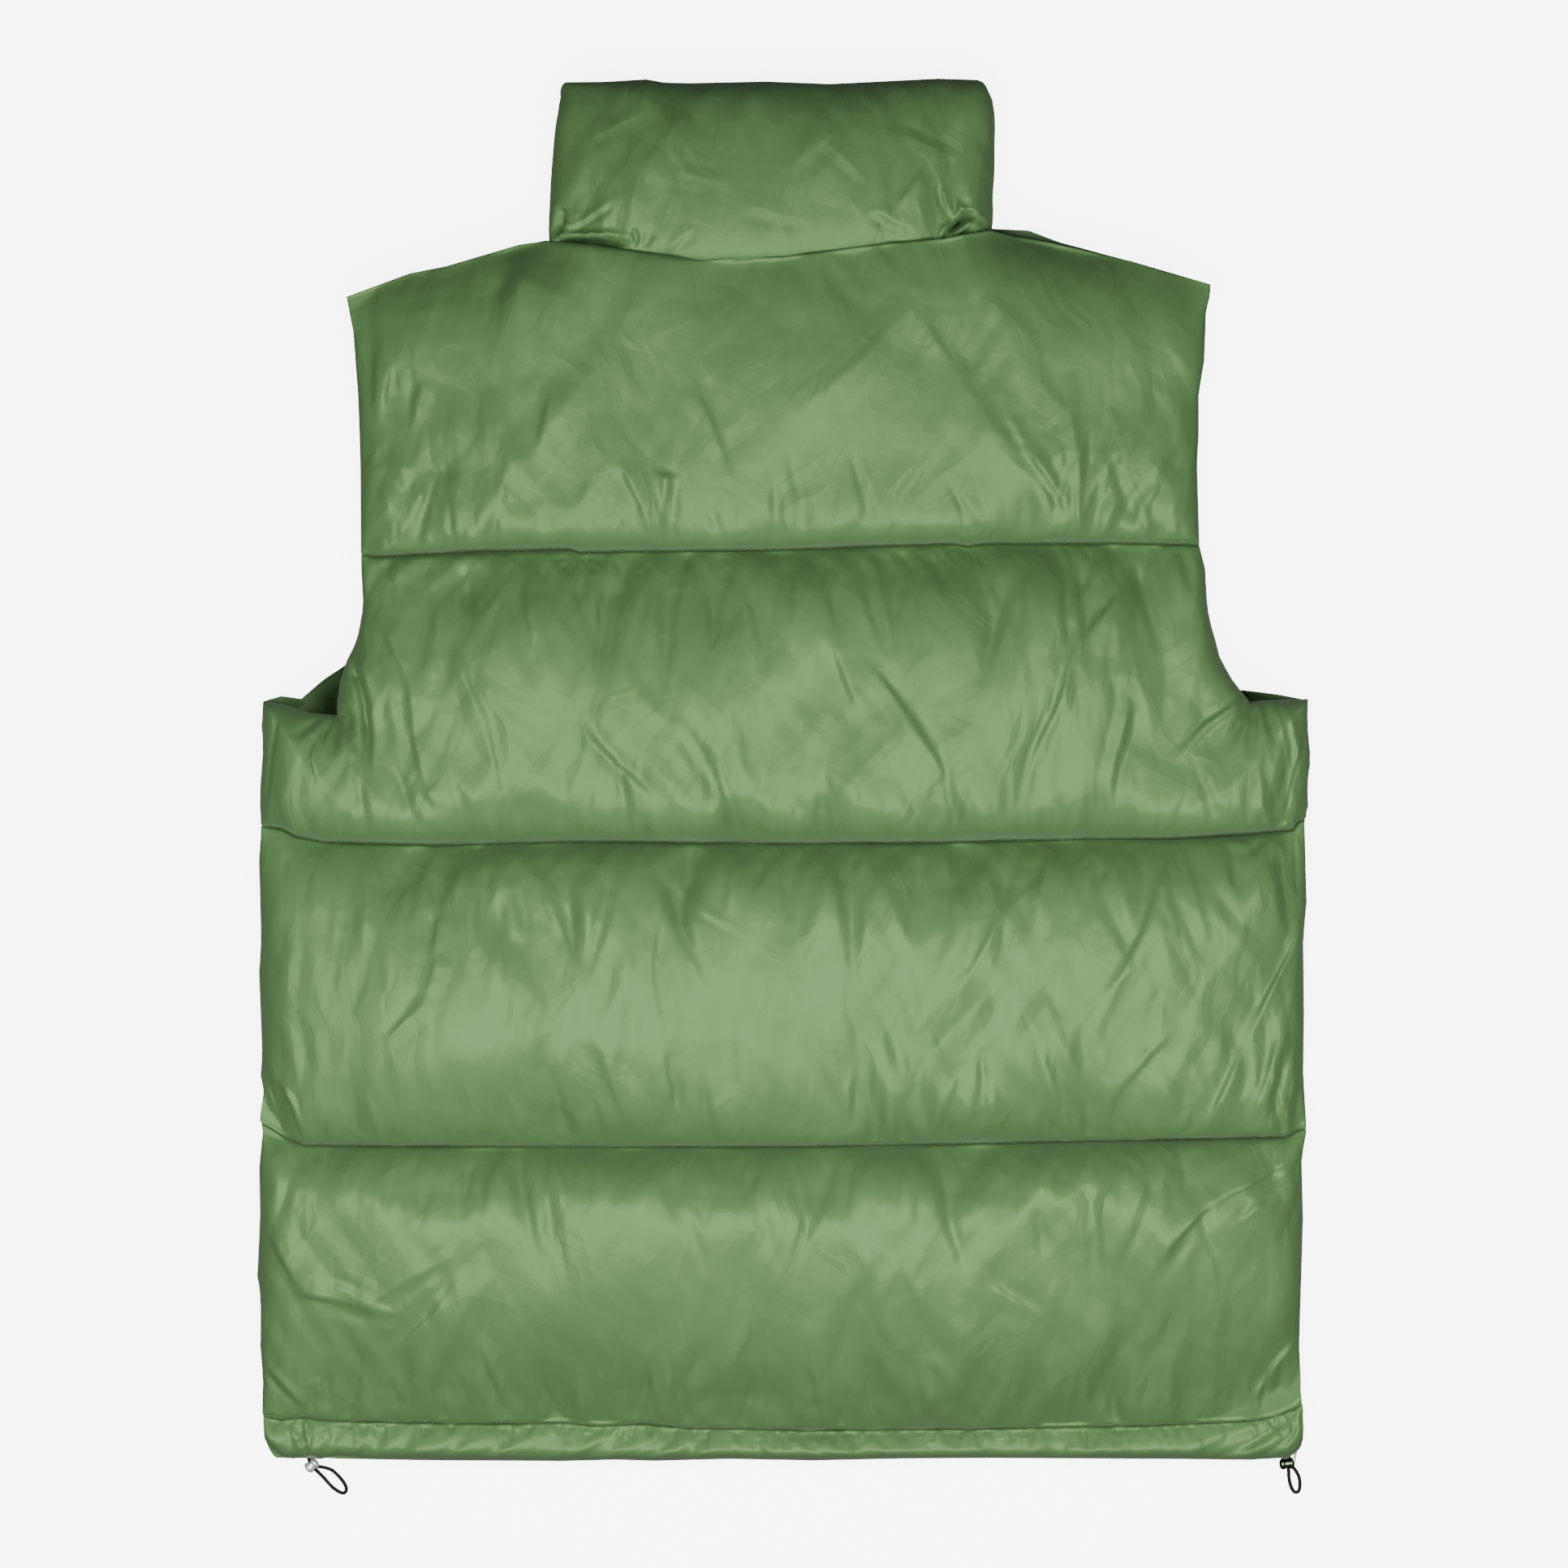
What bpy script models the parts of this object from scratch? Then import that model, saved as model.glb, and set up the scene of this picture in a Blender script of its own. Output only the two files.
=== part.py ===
"""A padded vest with a tall stand collar, laid flat on its front with its back up.

Frame: +X to the right, +Y from the hem to the collar, +Z up from the surface it lies on.
Every size below is in millimetres; MM turns it into metres where a mesh is made.

The vest is one flattened tube. Its upper layer is the back and its lower layer is the two
fronts, which a zip joins. The two layers lie on each other at the lie surface: level under
the chest, and sloping down to the hem and to the collar.
"""
import math

import bmesh
import bpy
import numpy as np

MM = 0.001

# ---- driving sizes -------------------------------------------------------------------------
SEAM_GAP = 0.3  # between pieces that are sewn to each other
EDGE_WALL = 4.0  # a panel's wall at its edges and along its quilting seams
BACK_LOFT = 48.0  # how far a back baffle rises above that wall
FRONT_LOFT = 54.0  # a front baffle before the surface presses it flat
SIDE_ROUND = 58.0  # distance over which a baffle rounds down to a side edge
CENTRE_ROUND = 34.0  # the same towards the zip
LIE_HEIGHT = 40.0  # where the layers meet under the chest
LIE_AT_HEM = 9.0  # where they meet at the hem's lower edge
LIE_AT_COLLAR_TOP = 24.0  # where they meet at the collar's upper edge
HEM_BREAK = -235.0  # Y of the line where the lie surface turns down to the hem
NECK_BREAK = 235.0  # Y of the line where it turns down to the collar
HEM_END = -382.0
COLLAR_END = 382.0
BODY_NOMINAL = 240.0  # column position of the armhole edge
SIDE_NOMINAL = 290.0  # column position of the side edge
ZIP_HALF = 8.0  # from the middle to each front's edge
NECK_LEFT = -130.0  # where the neck seam meets the left shoulder
NECK_RIGHT = 116.0
NECK_DROP = 240.0  # Y of the front neck seam at the zip
NECK_ROUND = 2.2  # power of the front neck curve

GREEN_NYLON = (0.13, 0.26, 0.09, 1.0)
DARK_CORD = (0.008, 0.009, 0.008, 1.0)
CHROME = (0.62, 0.64, 0.62, 1.0)
GREY_TAB = (0.45, 0.47, 0.47, 1.0)
DARK_TEETH = (0.05, 0.09, 0.04, 1.0)

# ---- seams across the body: X along the seam, Y of the seam ---------------------------------
NECK_AND_SHOULDERS = (
    (-240, 263), (-205, 276), (-185, 280), (-145, 292), (-130, 294), (-86, 287.3), (-45, 282),
    (0, 283.5), (60, 291), (90, 293.5), (116, 299), (150, 293), (195, 283), (240, 270),
)
YOKE_SEAM = ((-240, 119.5), (-115, 122), (0, 122.2), (130, 125.5), (240, 125))
CHEST_SEAM = (
    (-290, -31), (-267, -36.7), (-224, -40.5), (0, -40.7), (155, -38), (262, -34), (290, -27.5),
)
WAIST_SEAM = (
    (-290, -196), (-275, -203), (-262, -208), (0, -209), (193, -205), (271, -203.5), (290, -198.7),
)
HEM_SEAM = (
    (-290, -358.4), (-242, -361), (-155, -362.4), (0, -364.8), (177, -363.5), (240, -360.5),
    (281, -355), (290, -352),
)
HEM_EDGE = (
    (-290, -371), (-285, -378), (-272, -381), (0, -382), (200, -381.4), (278, -381), (290, -376),
)
BACK_UNDERARM = ((-290, 38.5), (-262, 38.8), (-240, 31), (-180, 38), (180, 38), (240, 38), (290, 39))
FRONT_UNDERARM = (
    (-290, 38.5), (-268, 41.5), (-240, 40), (-180, 41), (180, 42), (240, 45), (265, 42.5), (290, 39),
)
SHOULDER_FRONT_RIGHT = ((116, 301), (138, 300), (155, 293.6), (195, 283), (240, 270))

# ---- armhole and side edges: Y, left X, right X ---------------------------------------------
BACK_ARMHOLE = (
    (31, -247, 259), (58, -243, 247), (74, -236, 240), (100, -233, 235), (125, -234, 231),
    (175, -234.5, 229.5), (214, -236.3, 230.5), (244, -238.5, 233.5), (263, -241, 237),
)
FRONT_ARMHOLE = (
    (40, -266, 262), (49, -255, 250), (58, -243, 240), (74, -231, 228), (100, -220, 220),
    (150, -217, 217), (200, -222, 222), (240, -230, 229), (263, -238, 237),
)
BACK_SIDE = (
    (-382, -287, 288), (-345, -289, 287), (-334, -289, 285), (-279, -291, 287.5),
    (-215, -289.8, 287.6), (-200, -289.5, 290.3), (-95, -290.2, 288.5), (-60, -290, 289.5),
    (-31, -286, 288), (9, -280.5, 288.5), (39, -279, 289.5),
)
FRONT_SIDE = (
    (-382, -287, 288), (-345, -289, 287), (-334, -289, 285), (-279, -291, 287.5),
    (-215, -289.8, 287.6), (-200, -289.5, 290.3), (-95, -290.2, 288.5), (-31, -290, 289.5),
    (9, -289.4, 291), (39, -288.5, 291),
)

# ---- the main folds pressed into the back: start X Y, end X Y, half width, depth ------------
FOLDS = (
    (70, 263, -2, 189, 14, 6), (76, 253, 122, 183, 10, 4), (125, 195, 156, 146, 9, 6),
    (-228, 244, -233, 195, 8, 4), (-203, 222, -211, 195, 8, 4), (-130, 210, -142, 156, 10, 4),
    (-49, 210, -28, 160, 10, 4), (-94, 164, -74, 127, 10, 5), (-221, 75, -208, 48, 9, 6),
    (-208, 48, -195, -13, 9, 7), (-180, 65, -162, 27, 9, 5), (-162, 27, -153, -14, 9, 5),
    (-239, 50, -230, -3, 8, 7), (-146, 100, -127, 39, 12, 5), (-107, 27, -72, -14, 8, 5),
    (-52, 24, -29, -23, 8, 4), (26, 76, 46, 22, 12, 5), (50, 56, 91, -7, 8, 6),
    (188, 102, 154, 59, 14, 6), (156, 62, 131, -6, 8, 6), (193, 34, 182, -19, 8, 5),
    (-191, -79, -195, -120, 9, 6), (-195, -120, -215, -150, 9, 6), (-130, -65, -113, -118, 10, 4),
    (-104, -149, -84, -192, 8, 4), (-70, -96, -55, -192, 8, 4), (138, -59, 93, -129, 12, 5),
    (211, -61, 177, -141, 10, 5), (288, -94, 248, -156, 9, 7), (248, -156, 228, -198, 9, 6),
    (218, -145, 176, -195, 10, 4), (-287, -261, -269, -296, 10, 6), (-269, -296, -221, -304, 10, 7),
    (-221, -324, -184, -286, 12, 4), (287, -218, 240, -238, 10, 7), (240, -238, 205, -283, 10, 6),
    (284, -320, 261, -357, 9, 6), (80, -327, 99, -357, 10, 4), (-289, -339, -269, -359, 9, 6),
)
GATHER_DEPTH = 1.9  # small gathers along each seam, one fold to every two columns
GATHER_REACH = 13.0
HEM_GATHER = 1.0

# ---- hem band, collar ------------------------------------------------------------------------
HEM_LOFT = 6.5  # how far the drawcord tunnel rises above its sewn edges
HEM_WALL = 3.2
COLLAR_LOFT = 27.0
COLLAR_SIDE_LOFT = 18.0
COLLAR_TOP_EDGE = ((-122, 381), (-76, 382), (-52, 380.5), (-9, 381.4), (54, 380), (86, 382), (112, 380))
COLLAR_FRONT_DIP = 12.0  # how much lower the front's upper edge lies
# share of the height, left X, right X of the collar's outline
COLLAR_SIDES = (
    (0.0, -129.5, 115.6), (0.25, -129.2, 116.4), (0.5, -128.3, 116.8), (0.8, -126.3, 115.6),
    (1.0, -122.4, 111.6),
)
COLLAR_ROWS = 11
FOLD_STEPS = 7  # facets round each side fold of the collar
FOLD_TIP = 1.5  # half length of the slit's rounded end

# ---- zip ---------------------------------------------------------------------------------------
TAPE_THICK = 0.8
TAPE_DEPTH = 2.4  # how far the tape's middle lies below the lie surface
CHAIN_HALF = 3.0
CHAIN_THICK = 2.6
RETAINER_LENGTH = 9.0
SLIDER_LENGTH = 13.0
SLIDER_HALF = 4.6
SLIDER_DEEP = 8.2  # from the lie surface to the slider's outer face
BRIDGE_RISE = 3.4
BRIDGE_LENGTH = 8.0
BRIDGE_BAR = 1.3
BRIDGE_HALF = 1.4
PULL_LENGTH = 21.0  # from the pivot to the tip
PULL_HALF = 3.6
PULL_THICK = 1.5
PULL_HANG = 52.0  # degrees below level at rest, just clear of the surface

# ---- cord locks and elastic loops ---------------------------------------------------------------
LOCK_RADIUS = 3.2
LOCK_LENGTH = 8.6
LOCK_WAIST = 2.6
LOCK_HEIGHT = 4.4  # of the barrel's axis above the surface
CORD_RADIUS = 1.05
CORD_HEIGHT = 1.35
LOOP_POINTS = 13  # stations along a loop
LOCK_LEFT = (-261.6, -385.5)
LOCK_RIGHT = (279.4, -383.95)
TAB_START = (284.6, -376.4)
TAB_END = (285.2, -384.4)
TAB_WIDE = 1.8
TAB_THICK = 0.6
TAB_HEIGHT = 5.0
LEFT_HEADING = 130.0
RIGHT_HEADING = 96.0
# X, Y, Z of each loop, from the lock and back to it
LOOP_LEFT = (
    (-259.4, -388.6, 4.0), (-255.8, -393.0, CORD_HEIGHT), (-251.0, -398.2, CORD_HEIGHT),
    (-246.8, -400.8, CORD_HEIGHT), (-243.6, -401.4, CORD_HEIGHT), (-242.6, -398.8, CORD_HEIGHT),
    (-245.4, -394.2, CORD_HEIGHT), (-250.6, -388.4, 1.8), (-256.6, -385.2, 4.0),
)
LOOP_RIGHT = (
    (280.0, -387.8, 4.0), (280.6, -393.0, CORD_HEIGHT), (281.6, -397.4, CORD_HEIGHT),
    (283.6, -400.6, CORD_HEIGHT), (286.0, -400.4, CORD_HEIGHT), (286.8, -397.0, CORD_HEIGHT),
    (286.2, -392.4, CORD_HEIGHT), (283.0, -387.4, 4.0),
)

PARTS_COLLECTION = "padded_vest"


# ---- small tools --------------------------------------------------------------------------------
def clear_scene():
    """Remove whatever is in the scene."""
    for old in list(bpy.data.objects):
        bpy.data.objects.remove(old, do_unlink=True)


def parts_collection():
    """The collection that holds the vest's pieces."""
    home = bpy.data.collections.get(PARTS_COLLECTION) or bpy.data.collections.new(PARTS_COLLECTION)
    if home.name not in bpy.context.scene.collection.children:
        bpy.context.scene.collection.children.link(home)
    return home


def finish_material(name, colour, roughness, metallic=0.0):
    """A Principled material for one piece."""
    made = bpy.data.materials.new(name)
    made.use_nodes = True
    shader = made.node_tree.nodes["Principled BSDF"]
    shader.inputs["Base Color"].default_value = colour
    shader.inputs["Roughness"].default_value = roughness
    shader.inputs["Metallic"].default_value = metallic
    return made


def add_piece(name, mesh, material, smooth=True):
    """Link a mesh as one named piece with its own material."""
    mesh.materials.clear()
    mesh.materials.append(material)
    piece = bpy.data.objects.new(name, mesh)
    parts_collection().objects.link(piece)
    if smooth:
        mesh.shade_smooth()
    return piece


def mesh_from(name, points, faces):
    """A closed mesh from points in millimetres, its faces turned outwards."""
    mesh = bpy.data.meshes.new(name)
    mesh.from_pydata((np.asarray(points) * MM).tolist(), [], faces)
    work = bmesh.new()
    work.from_mesh(mesh)
    bmesh.ops.recalc_face_normals(work, faces=work.faces)
    work.to_mesh(mesh)
    work.free()
    mesh.update()
    return mesh


def read_table(table, at, column=1):
    """A table's value at a position in its first column, straight between rows."""
    rows = np.array(table, dtype=float)
    return np.interp(at, rows[:, 0], rows[:, column])


def lie_height(y):
    """Height of the surface where the layers meet: level, with a straight slope at each end."""
    places = (HEM_END, HEM_BREAK, NECK_BREAK, COLLAR_END)
    heights = (LIE_AT_HEM, LIE_HEIGHT, LIE_HEIGHT, LIE_AT_COLLAR_TOP)
    return np.interp(y, places, heights)


def arc_rise(share, width, loft):
    """Height of a circular arc of a given width and loft, at a share of its width."""
    radius = (width ** 2 / 4 + loft ** 2) / (2 * loft)
    offset = (np.clip(share, 0, 1) - 0.5) * width
    return np.sqrt(radius ** 2 - offset ** 2) - (radius - loft)


def round_down(distance, reach):
    """0 at an edge and 1 past a distance from it, as a quarter of a circle."""
    inward = 1 - np.clip(distance / reach, 0, 1)
    return np.sqrt(1 - inward ** 2)


def distance_to_chain(x, y, chain):
    """Distance of each point from a chain of straight stretches."""
    start = np.array(chain[:-1])
    along = np.array(chain[1:]) - start
    from_start = np.stack([x, y], axis=-1)[..., None, :] - start
    share = (from_start * along).sum(-1) / np.maximum((along ** 2).sum(-1), 1e-9)
    nearest = from_start - np.clip(share, 0, 1)[..., None] * along
    return np.sqrt((nearest ** 2).sum(-1)).min(axis=-1)


# ---- panels: a grid of rows and columns between seams --------------------------------------------
class PanelGrid:
    """Rows follow the seams and columns run from hem to collar. Columns past the armhole edge
    are the underarm wings, which end at the underarm row."""

    def __init__(self, columns, bands, armhole, side, centre=0.0):
        self.columns = np.array(columns)
        self.rows = np.vstack(
            [lower(self.columns) * (1 - t) + upper(self.columns) * t
             for lower, upper, steps in bands
             for t in np.arange(steps) / steps]
            + [bands[-1][1](self.columns)]
        )
        self.y = self.rows
        self.x = self.place_columns(armhole, side, centre)
        self.present = np.ones(self.x.shape, dtype=bool)

    def place_columns(self, armhole, side, centre):
        """Columns spread between the middle and the armhole edge, and on to the side edge."""
        x = np.zeros(self.y.shape)
        for sign, column in ((-1, 1), (1, 2)):
            own = self.columns * sign > 0
            nominal = np.abs(self.columns[own])
            hole = np.abs(read_table(armhole, self.y[:, own], column))
            edge = np.abs(read_table(side, self.y[:, own], column))
            body = centre + (np.minimum(nominal, BODY_NOMINAL) - centre) * (hole - centre) / (
                BODY_NOMINAL - centre
            )
            wing = np.clip((nominal - BODY_NOMINAL) / (SIDE_NOMINAL - BODY_NOMINAL), 0, 1)
            x[:, own] = sign * (body + (edge - hole) * wing)
        return x

    def end_wings_at(self, row):
        """Leave out the wings above the underarm row."""
        wings = np.abs(self.columns) > BODY_NOMINAL + 1
        self.present[row + 1:, wings] = False

    def side_chain(self, sign):
        """The free edge from the lowest row up the side, round the underarm and up the armhole."""
        order = np.argsort(-sign * self.columns)
        order = [c for c in order if self.columns[c] * sign > 0]
        chain = []
        for r in range(len(self.y)):
            here = [c for c in order if self.present[r, c]]
            if not here:
                continue
            above = [c for c in order if r + 1 < len(self.y) and self.present[r + 1, c]] or here
            for c in here[: here.index(above[0]) + 1]:
                chain.append((self.x[r, c], self.y[r, c]))
        return chain


def seam(table):
    """A seam as a function of the column position."""
    return lambda columns: read_table(table, columns)


def straight(y):
    """A row at one Y all the way across."""
    return lambda columns: np.full(len(columns), float(y))


def panel_solid(name, grid, z_outer, z_inner):
    """A wall between a shaped outer face and a plain inner one. The inner face is one long
    facet for each row, because it is flat across the panel."""
    present = grid.present
    cells = present[:-1, :-1] & present[:-1, 1:] & present[1:, :-1] & present[1:, 1:]
    around = np.zeros(present.shape, dtype=int)
    for rows in (slice(0, -1), slice(1, None)):
        for cols in (slice(0, -1), slice(1, None)):
            around[rows, cols] += cells
    rim = present & (around < 4)
    points = []
    outer = {}
    inner = {}
    for r, c in np.argwhere(present):
        outer[r, c] = len(points)
        points.append((grid.x[r, c], grid.y[r, c], z_outer[r, c]))
    for r, c in np.argwhere(rim):
        inner[r, c] = len(points)
        points.append((grid.x[r, c], grid.y[r, c], z_inner[r, c]))
    faces = []
    edges = {}
    for r, c in np.argwhere(cells):
        corners = [(r, c), (r, c + 1), (r + 1, c + 1), (r + 1, c)]
        faces.append([outer[k] for k in corners])
        for a, b in zip(corners, corners[1:] + corners[:1]):
            key = (min(a, b), max(a, b))
            edges[key] = edges.get(key, 0) + 1
    for (a, b), used in edges.items():
        if used == 1:
            faces.append([outer[a], outer[b], inner[b], inner[a]])
    for r in range(cells.shape[0]):
        across = np.flatnonzero(cells[r])
        span = range(across[0], across[-1] + 2)
        lower = [(r, c) for c in span if rim[r, c]]
        upper = [(r + 1, c) for c in reversed(span) if rim[r + 1, c]]
        faces.append([inner[k] for k in lower + upper])
    return mesh_from(name, points, faces)


def sheet_solid(name, outer, inner):
    """A wall between two grids of points of the same size, closed along all four edges."""
    rows, cols = outer.shape[:2]
    points = np.vstack([outer.reshape(-1, 3), inner.reshape(-1, 3)])
    index = np.arange(rows * cols).reshape(rows, cols)
    back = index + rows * cols
    faces = []
    for grid in (index, back):
        quads = np.stack([grid[:-1, :-1], grid[:-1, 1:], grid[1:, 1:], grid[1:, :-1]], axis=-1)
        faces.extend(quads.reshape(-1, 4).tolist())
    for line, other in ((index[0], back[0]), (index[-1], back[-1]), (index[:, 0], back[:, 0]),
                        (index[:, -1], back[:, -1])):
        strip = np.stack([line[:-1], line[1:], other[1:], other[:-1]], axis=-1)
        faces.extend(strip.tolist())
    return mesh_from(name, points, faces)


def baffle_rise(grid, seams, loft):
    """How far the filling lifts each point: a circular arc from one seam to the next."""
    rise = np.zeros(grid.y.shape)
    for lower, upper in zip(seams[:-1], seams[1:]):
        low = lower(grid.columns)[None, :]
        high = upper(grid.columns)[None, :]
        width = np.maximum(high - low, 1.0)
        share = (grid.y - low) / width
        inside = (share >= 0) & (share <= 1)
        rise = np.where(inside, arc_rise(share, width, loft), rise)
    return rise


def nearest_seam(grid, seams):
    """Distance in Y from each point to the nearest seam."""
    return np.min([np.abs(grid.y - s(grid.columns)[None, :]) for s in seams], axis=0)


def fold_relief(x, y):
    """The main folds: a rounded trough along each line with a low ridge on both sides."""
    relief = np.zeros(x.shape)
    for x0, y0, x1, y1, half_width, depth in FOLDS:
        away = distance_to_chain(x, y, ((x0, y0), (x1, y1))) / half_width
        relief -= depth * (1 - 0.6 * away ** 2) * np.exp(-away ** 2)
    return relief


def gather_relief(grid, seams):
    """Small gathers that run out from the seams, uneven in depth, one column up and one down."""
    turn = np.where(np.arange(len(grid.columns)) % 2 == 0, 1.0, -1.0)
    uneven = 0.65 + 0.35 * np.sin(grid.columns * 0.071) * np.cos(grid.columns * 0.023)
    fade = np.exp(-nearest_seam(grid, seams) / GATHER_REACH)
    return GATHER_DEPTH * (turn * uneven)[None, :] * fade


# ---- back ------------------------------------------------------------------------------------------
BACK_BANDS = (
    (seam(HEM_SEAM), straight(HEM_BREAK), 10),
    (straight(HEM_BREAK), seam(WAIST_SEAM), 2),
    (seam(WAIST_SEAM), seam(CHEST_SEAM), 14),
    (seam(CHEST_SEAM), seam(BACK_UNDERARM), 7),
    (seam(BACK_UNDERARM), seam(YOKE_SEAM), 7),
    (seam(YOKE_SEAM), straight(NECK_BREAK), 9),
    (straight(NECK_BREAK), seam(NECK_AND_SHOULDERS), 4),
)
BACK_SEAMS = (
    seam(HEM_SEAM), seam(WAIST_SEAM), seam(CHEST_SEAM), seam(YOKE_SEAM), seam(NECK_AND_SHOULDERS),
)


def spread(*stations):
    """Column positions: each station is a position and the steps up to the next one."""
    places = []
    for (here, steps), (after, _) in zip(stations[:-1], stations[1:]):
        places.extend(np.linspace(here, after, steps + 1)[:-1])
    return places + [stations[-1][0]]


def back_grid():
    """The back's rows and columns, with its wings under the armholes."""
    columns = spread(
        (-SIDE_NOMINAL, 5), (-BODY_NOMINAL, 11), (NECK_LEFT, 25), (NECK_RIGHT, 13),
        (BODY_NOMINAL, 5), (SIDE_NOMINAL, 0),
    )
    grid = PanelGrid(columns, BACK_BANDS, BACK_ARMHOLE, BACK_SIDE)
    grid.end_wings_at(sum(steps for _, _, steps in BACK_BANDS[:4]))
    return grid


def make_back(grid):
    """Four wide baffles over a plain inside."""
    edge = np.minimum(
        distance_to_chain(grid.x, grid.y, grid.side_chain(-1)),
        distance_to_chain(grid.x, grid.y, grid.side_chain(1)),
    )
    filled = baffle_rise(grid, BACK_SEAMS, BACK_LOFT) * round_down(edge, SIDE_ROUND)
    calm = round_down(nearest_seam(grid, BACK_SEAMS), 20) * round_down(edge, 14)
    relief = fold_relief(grid.x, grid.y) * calm + gather_relief(grid, BACK_SEAMS)
    inner = lie_height(grid.y) + SEAM_GAP / 2
    outer = inner + np.maximum(EDGE_WALL + filled + relief, EDGE_WALL * 0.7)
    mesh = panel_solid("back", grid, outer, inner)
    return add_piece("back", mesh, finish_material("back_nylon", GREEN_NYLON, 0.42))


# ---- fronts ----------------------------------------------------------------------------------------
def front_top(sign):
    """The front's upper edge: the neck curve from the zip, then the shoulder."""
    corner = NECK_LEFT if sign < 0 else NECK_RIGHT
    shoulder = NECK_AND_SHOULDERS if sign < 0 else SHOULDER_FRONT_RIGHT
    neck_end = read_table(shoulder, corner)

    def top(columns):
        neck = NECK_DROP + (neck_end - NECK_DROP) * np.abs(columns / corner) ** NECK_ROUND
        return np.where(np.abs(columns) <= abs(corner), neck, read_table(shoulder, columns))

    return top


def front_grid(sign):
    """One front's rows and columns."""
    top = front_top(sign)
    bands = (
        (seam(HEM_SEAM), straight(HEM_BREAK), 7),
        (straight(HEM_BREAK), seam(WAIST_SEAM), 2),
        (seam(WAIST_SEAM), seam(CHEST_SEAM), 10),
        (seam(CHEST_SEAM), seam(FRONT_UNDERARM), 5),
        (seam(FRONT_UNDERARM), seam(YOKE_SEAM), 5),
        (seam(YOKE_SEAM), straight(NECK_BREAK), 7),
        (straight(NECK_BREAK), top, 3),
    )
    corner = abs(NECK_LEFT if sign < 0 else NECK_RIGHT)
    columns = np.array(spread(
        (ZIP_HALF, 8), (corner, 8), (BODY_NOMINAL, 3), (SIDE_NOMINAL, 0),
    ))
    columns = np.sort(sign * columns)
    grid = PanelGrid(columns, bands, FRONT_ARMHOLE, FRONT_SIDE, centre=ZIP_HALF)
    grid.end_wings_at(sum(steps for _, _, steps in bands[:4]))
    return grid


def make_front(name, grid, sign):
    """One front: the same baffles, pressed flat where the vest rests on them."""
    seams = (seam(HEM_SEAM), seam(WAIST_SEAM), seam(CHEST_SEAM), seam(YOKE_SEAM), front_top(sign))
    edge = distance_to_chain(grid.x, grid.y, grid.side_chain(sign))
    centre = 0.14 + 0.86 * round_down(np.abs(grid.x) - ZIP_HALF, CENTRE_ROUND)
    filled = baffle_rise(grid, seams, FRONT_LOFT) * round_down(edge, SIDE_ROUND) * centre
    inner = lie_height(grid.y) - SEAM_GAP / 2
    outer = np.maximum(inner - EDGE_WALL - filled, 0.0)
    mesh = panel_solid(name, grid, outer, inner)
    return add_piece(name, mesh, finish_material(name + "_nylon", GREEN_NYLON, 0.42))


# ---- hem bands -------------------------------------------------------------------------------------
def hem_grid(panel, armhole, side, centre=0.0):
    """A hem band's rows, from its lower edge up to the hem seam, on its panel's columns."""

    def lower(places):
        return read_table(HEM_EDGE, places)

    def upper(places):
        return read_table(HEM_SEAM, places) - SEAM_GAP

    return PanelGrid(panel.columns, ((lower, upper, 4),), armhole, side, centre)


def hem_thickness(grid, gather):
    """The drawcord tunnel: an arc from its folded edge to its seam, gathered along its length."""
    share = (np.arange(len(grid.y)) / (len(grid.y) - 1))[:, None]
    rise = arc_rise(share, 17.0, HEM_LOFT)
    turn = np.where(np.arange(len(grid.columns)) % 2 == 0, 1.0, -1.0)
    uneven = 0.6 + 0.4 * np.sin(grid.columns * 0.11) * np.cos(grid.columns * 0.037)
    pleats = gather * (turn * uneven)[None, :] * (rise / HEM_LOFT)
    ends = round_down(np.abs(np.abs(grid.x) - np.abs(grid.x).max()), 12)
    return HEM_WALL + (rise + pleats) * np.maximum(ends, 0.25)


def make_hem_back(panel):
    """The hem band under the back."""
    grid = hem_grid(panel, BACK_ARMHOLE, BACK_SIDE)
    inner = lie_height(grid.y) + SEAM_GAP / 2
    mesh = panel_solid("hem_back", grid, inner + hem_thickness(grid, HEM_GATHER), inner)
    return add_piece("hem_back", mesh, finish_material("hem_back_nylon", GREEN_NYLON, 0.42))


def make_hem_front(name, panel):
    """The hem band under one front."""
    grid = hem_grid(panel, FRONT_ARMHOLE, FRONT_SIDE, centre=ZIP_HALF)
    inner = lie_height(grid.y) - SEAM_GAP / 2
    outer = np.maximum(inner - hem_thickness(grid, 0.0), 0.0)
    mesh = panel_solid(name, grid, outer, inner)
    return add_piece(name, mesh, finish_material(name + "_nylon", GREEN_NYLON, 0.42))


# ---- collar ----------------------------------------------------------------------------------------
def collar_side(share, sign):
    """X of the collar's outline at a share of its height."""
    return read_table(COLLAR_SIDES, share, 1 if sign < 0 else 2)


def neck_seam(grid):
    """The neck part of a panel's top row, as a function of X."""
    use = grid.present[-1] & (grid.x[-1] > NECK_LEFT - 2) & (grid.x[-1] < NECK_RIGHT + 2)
    return lambda x: np.interp(x, grid.x[-1][use], grid.y[-1][use])


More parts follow.
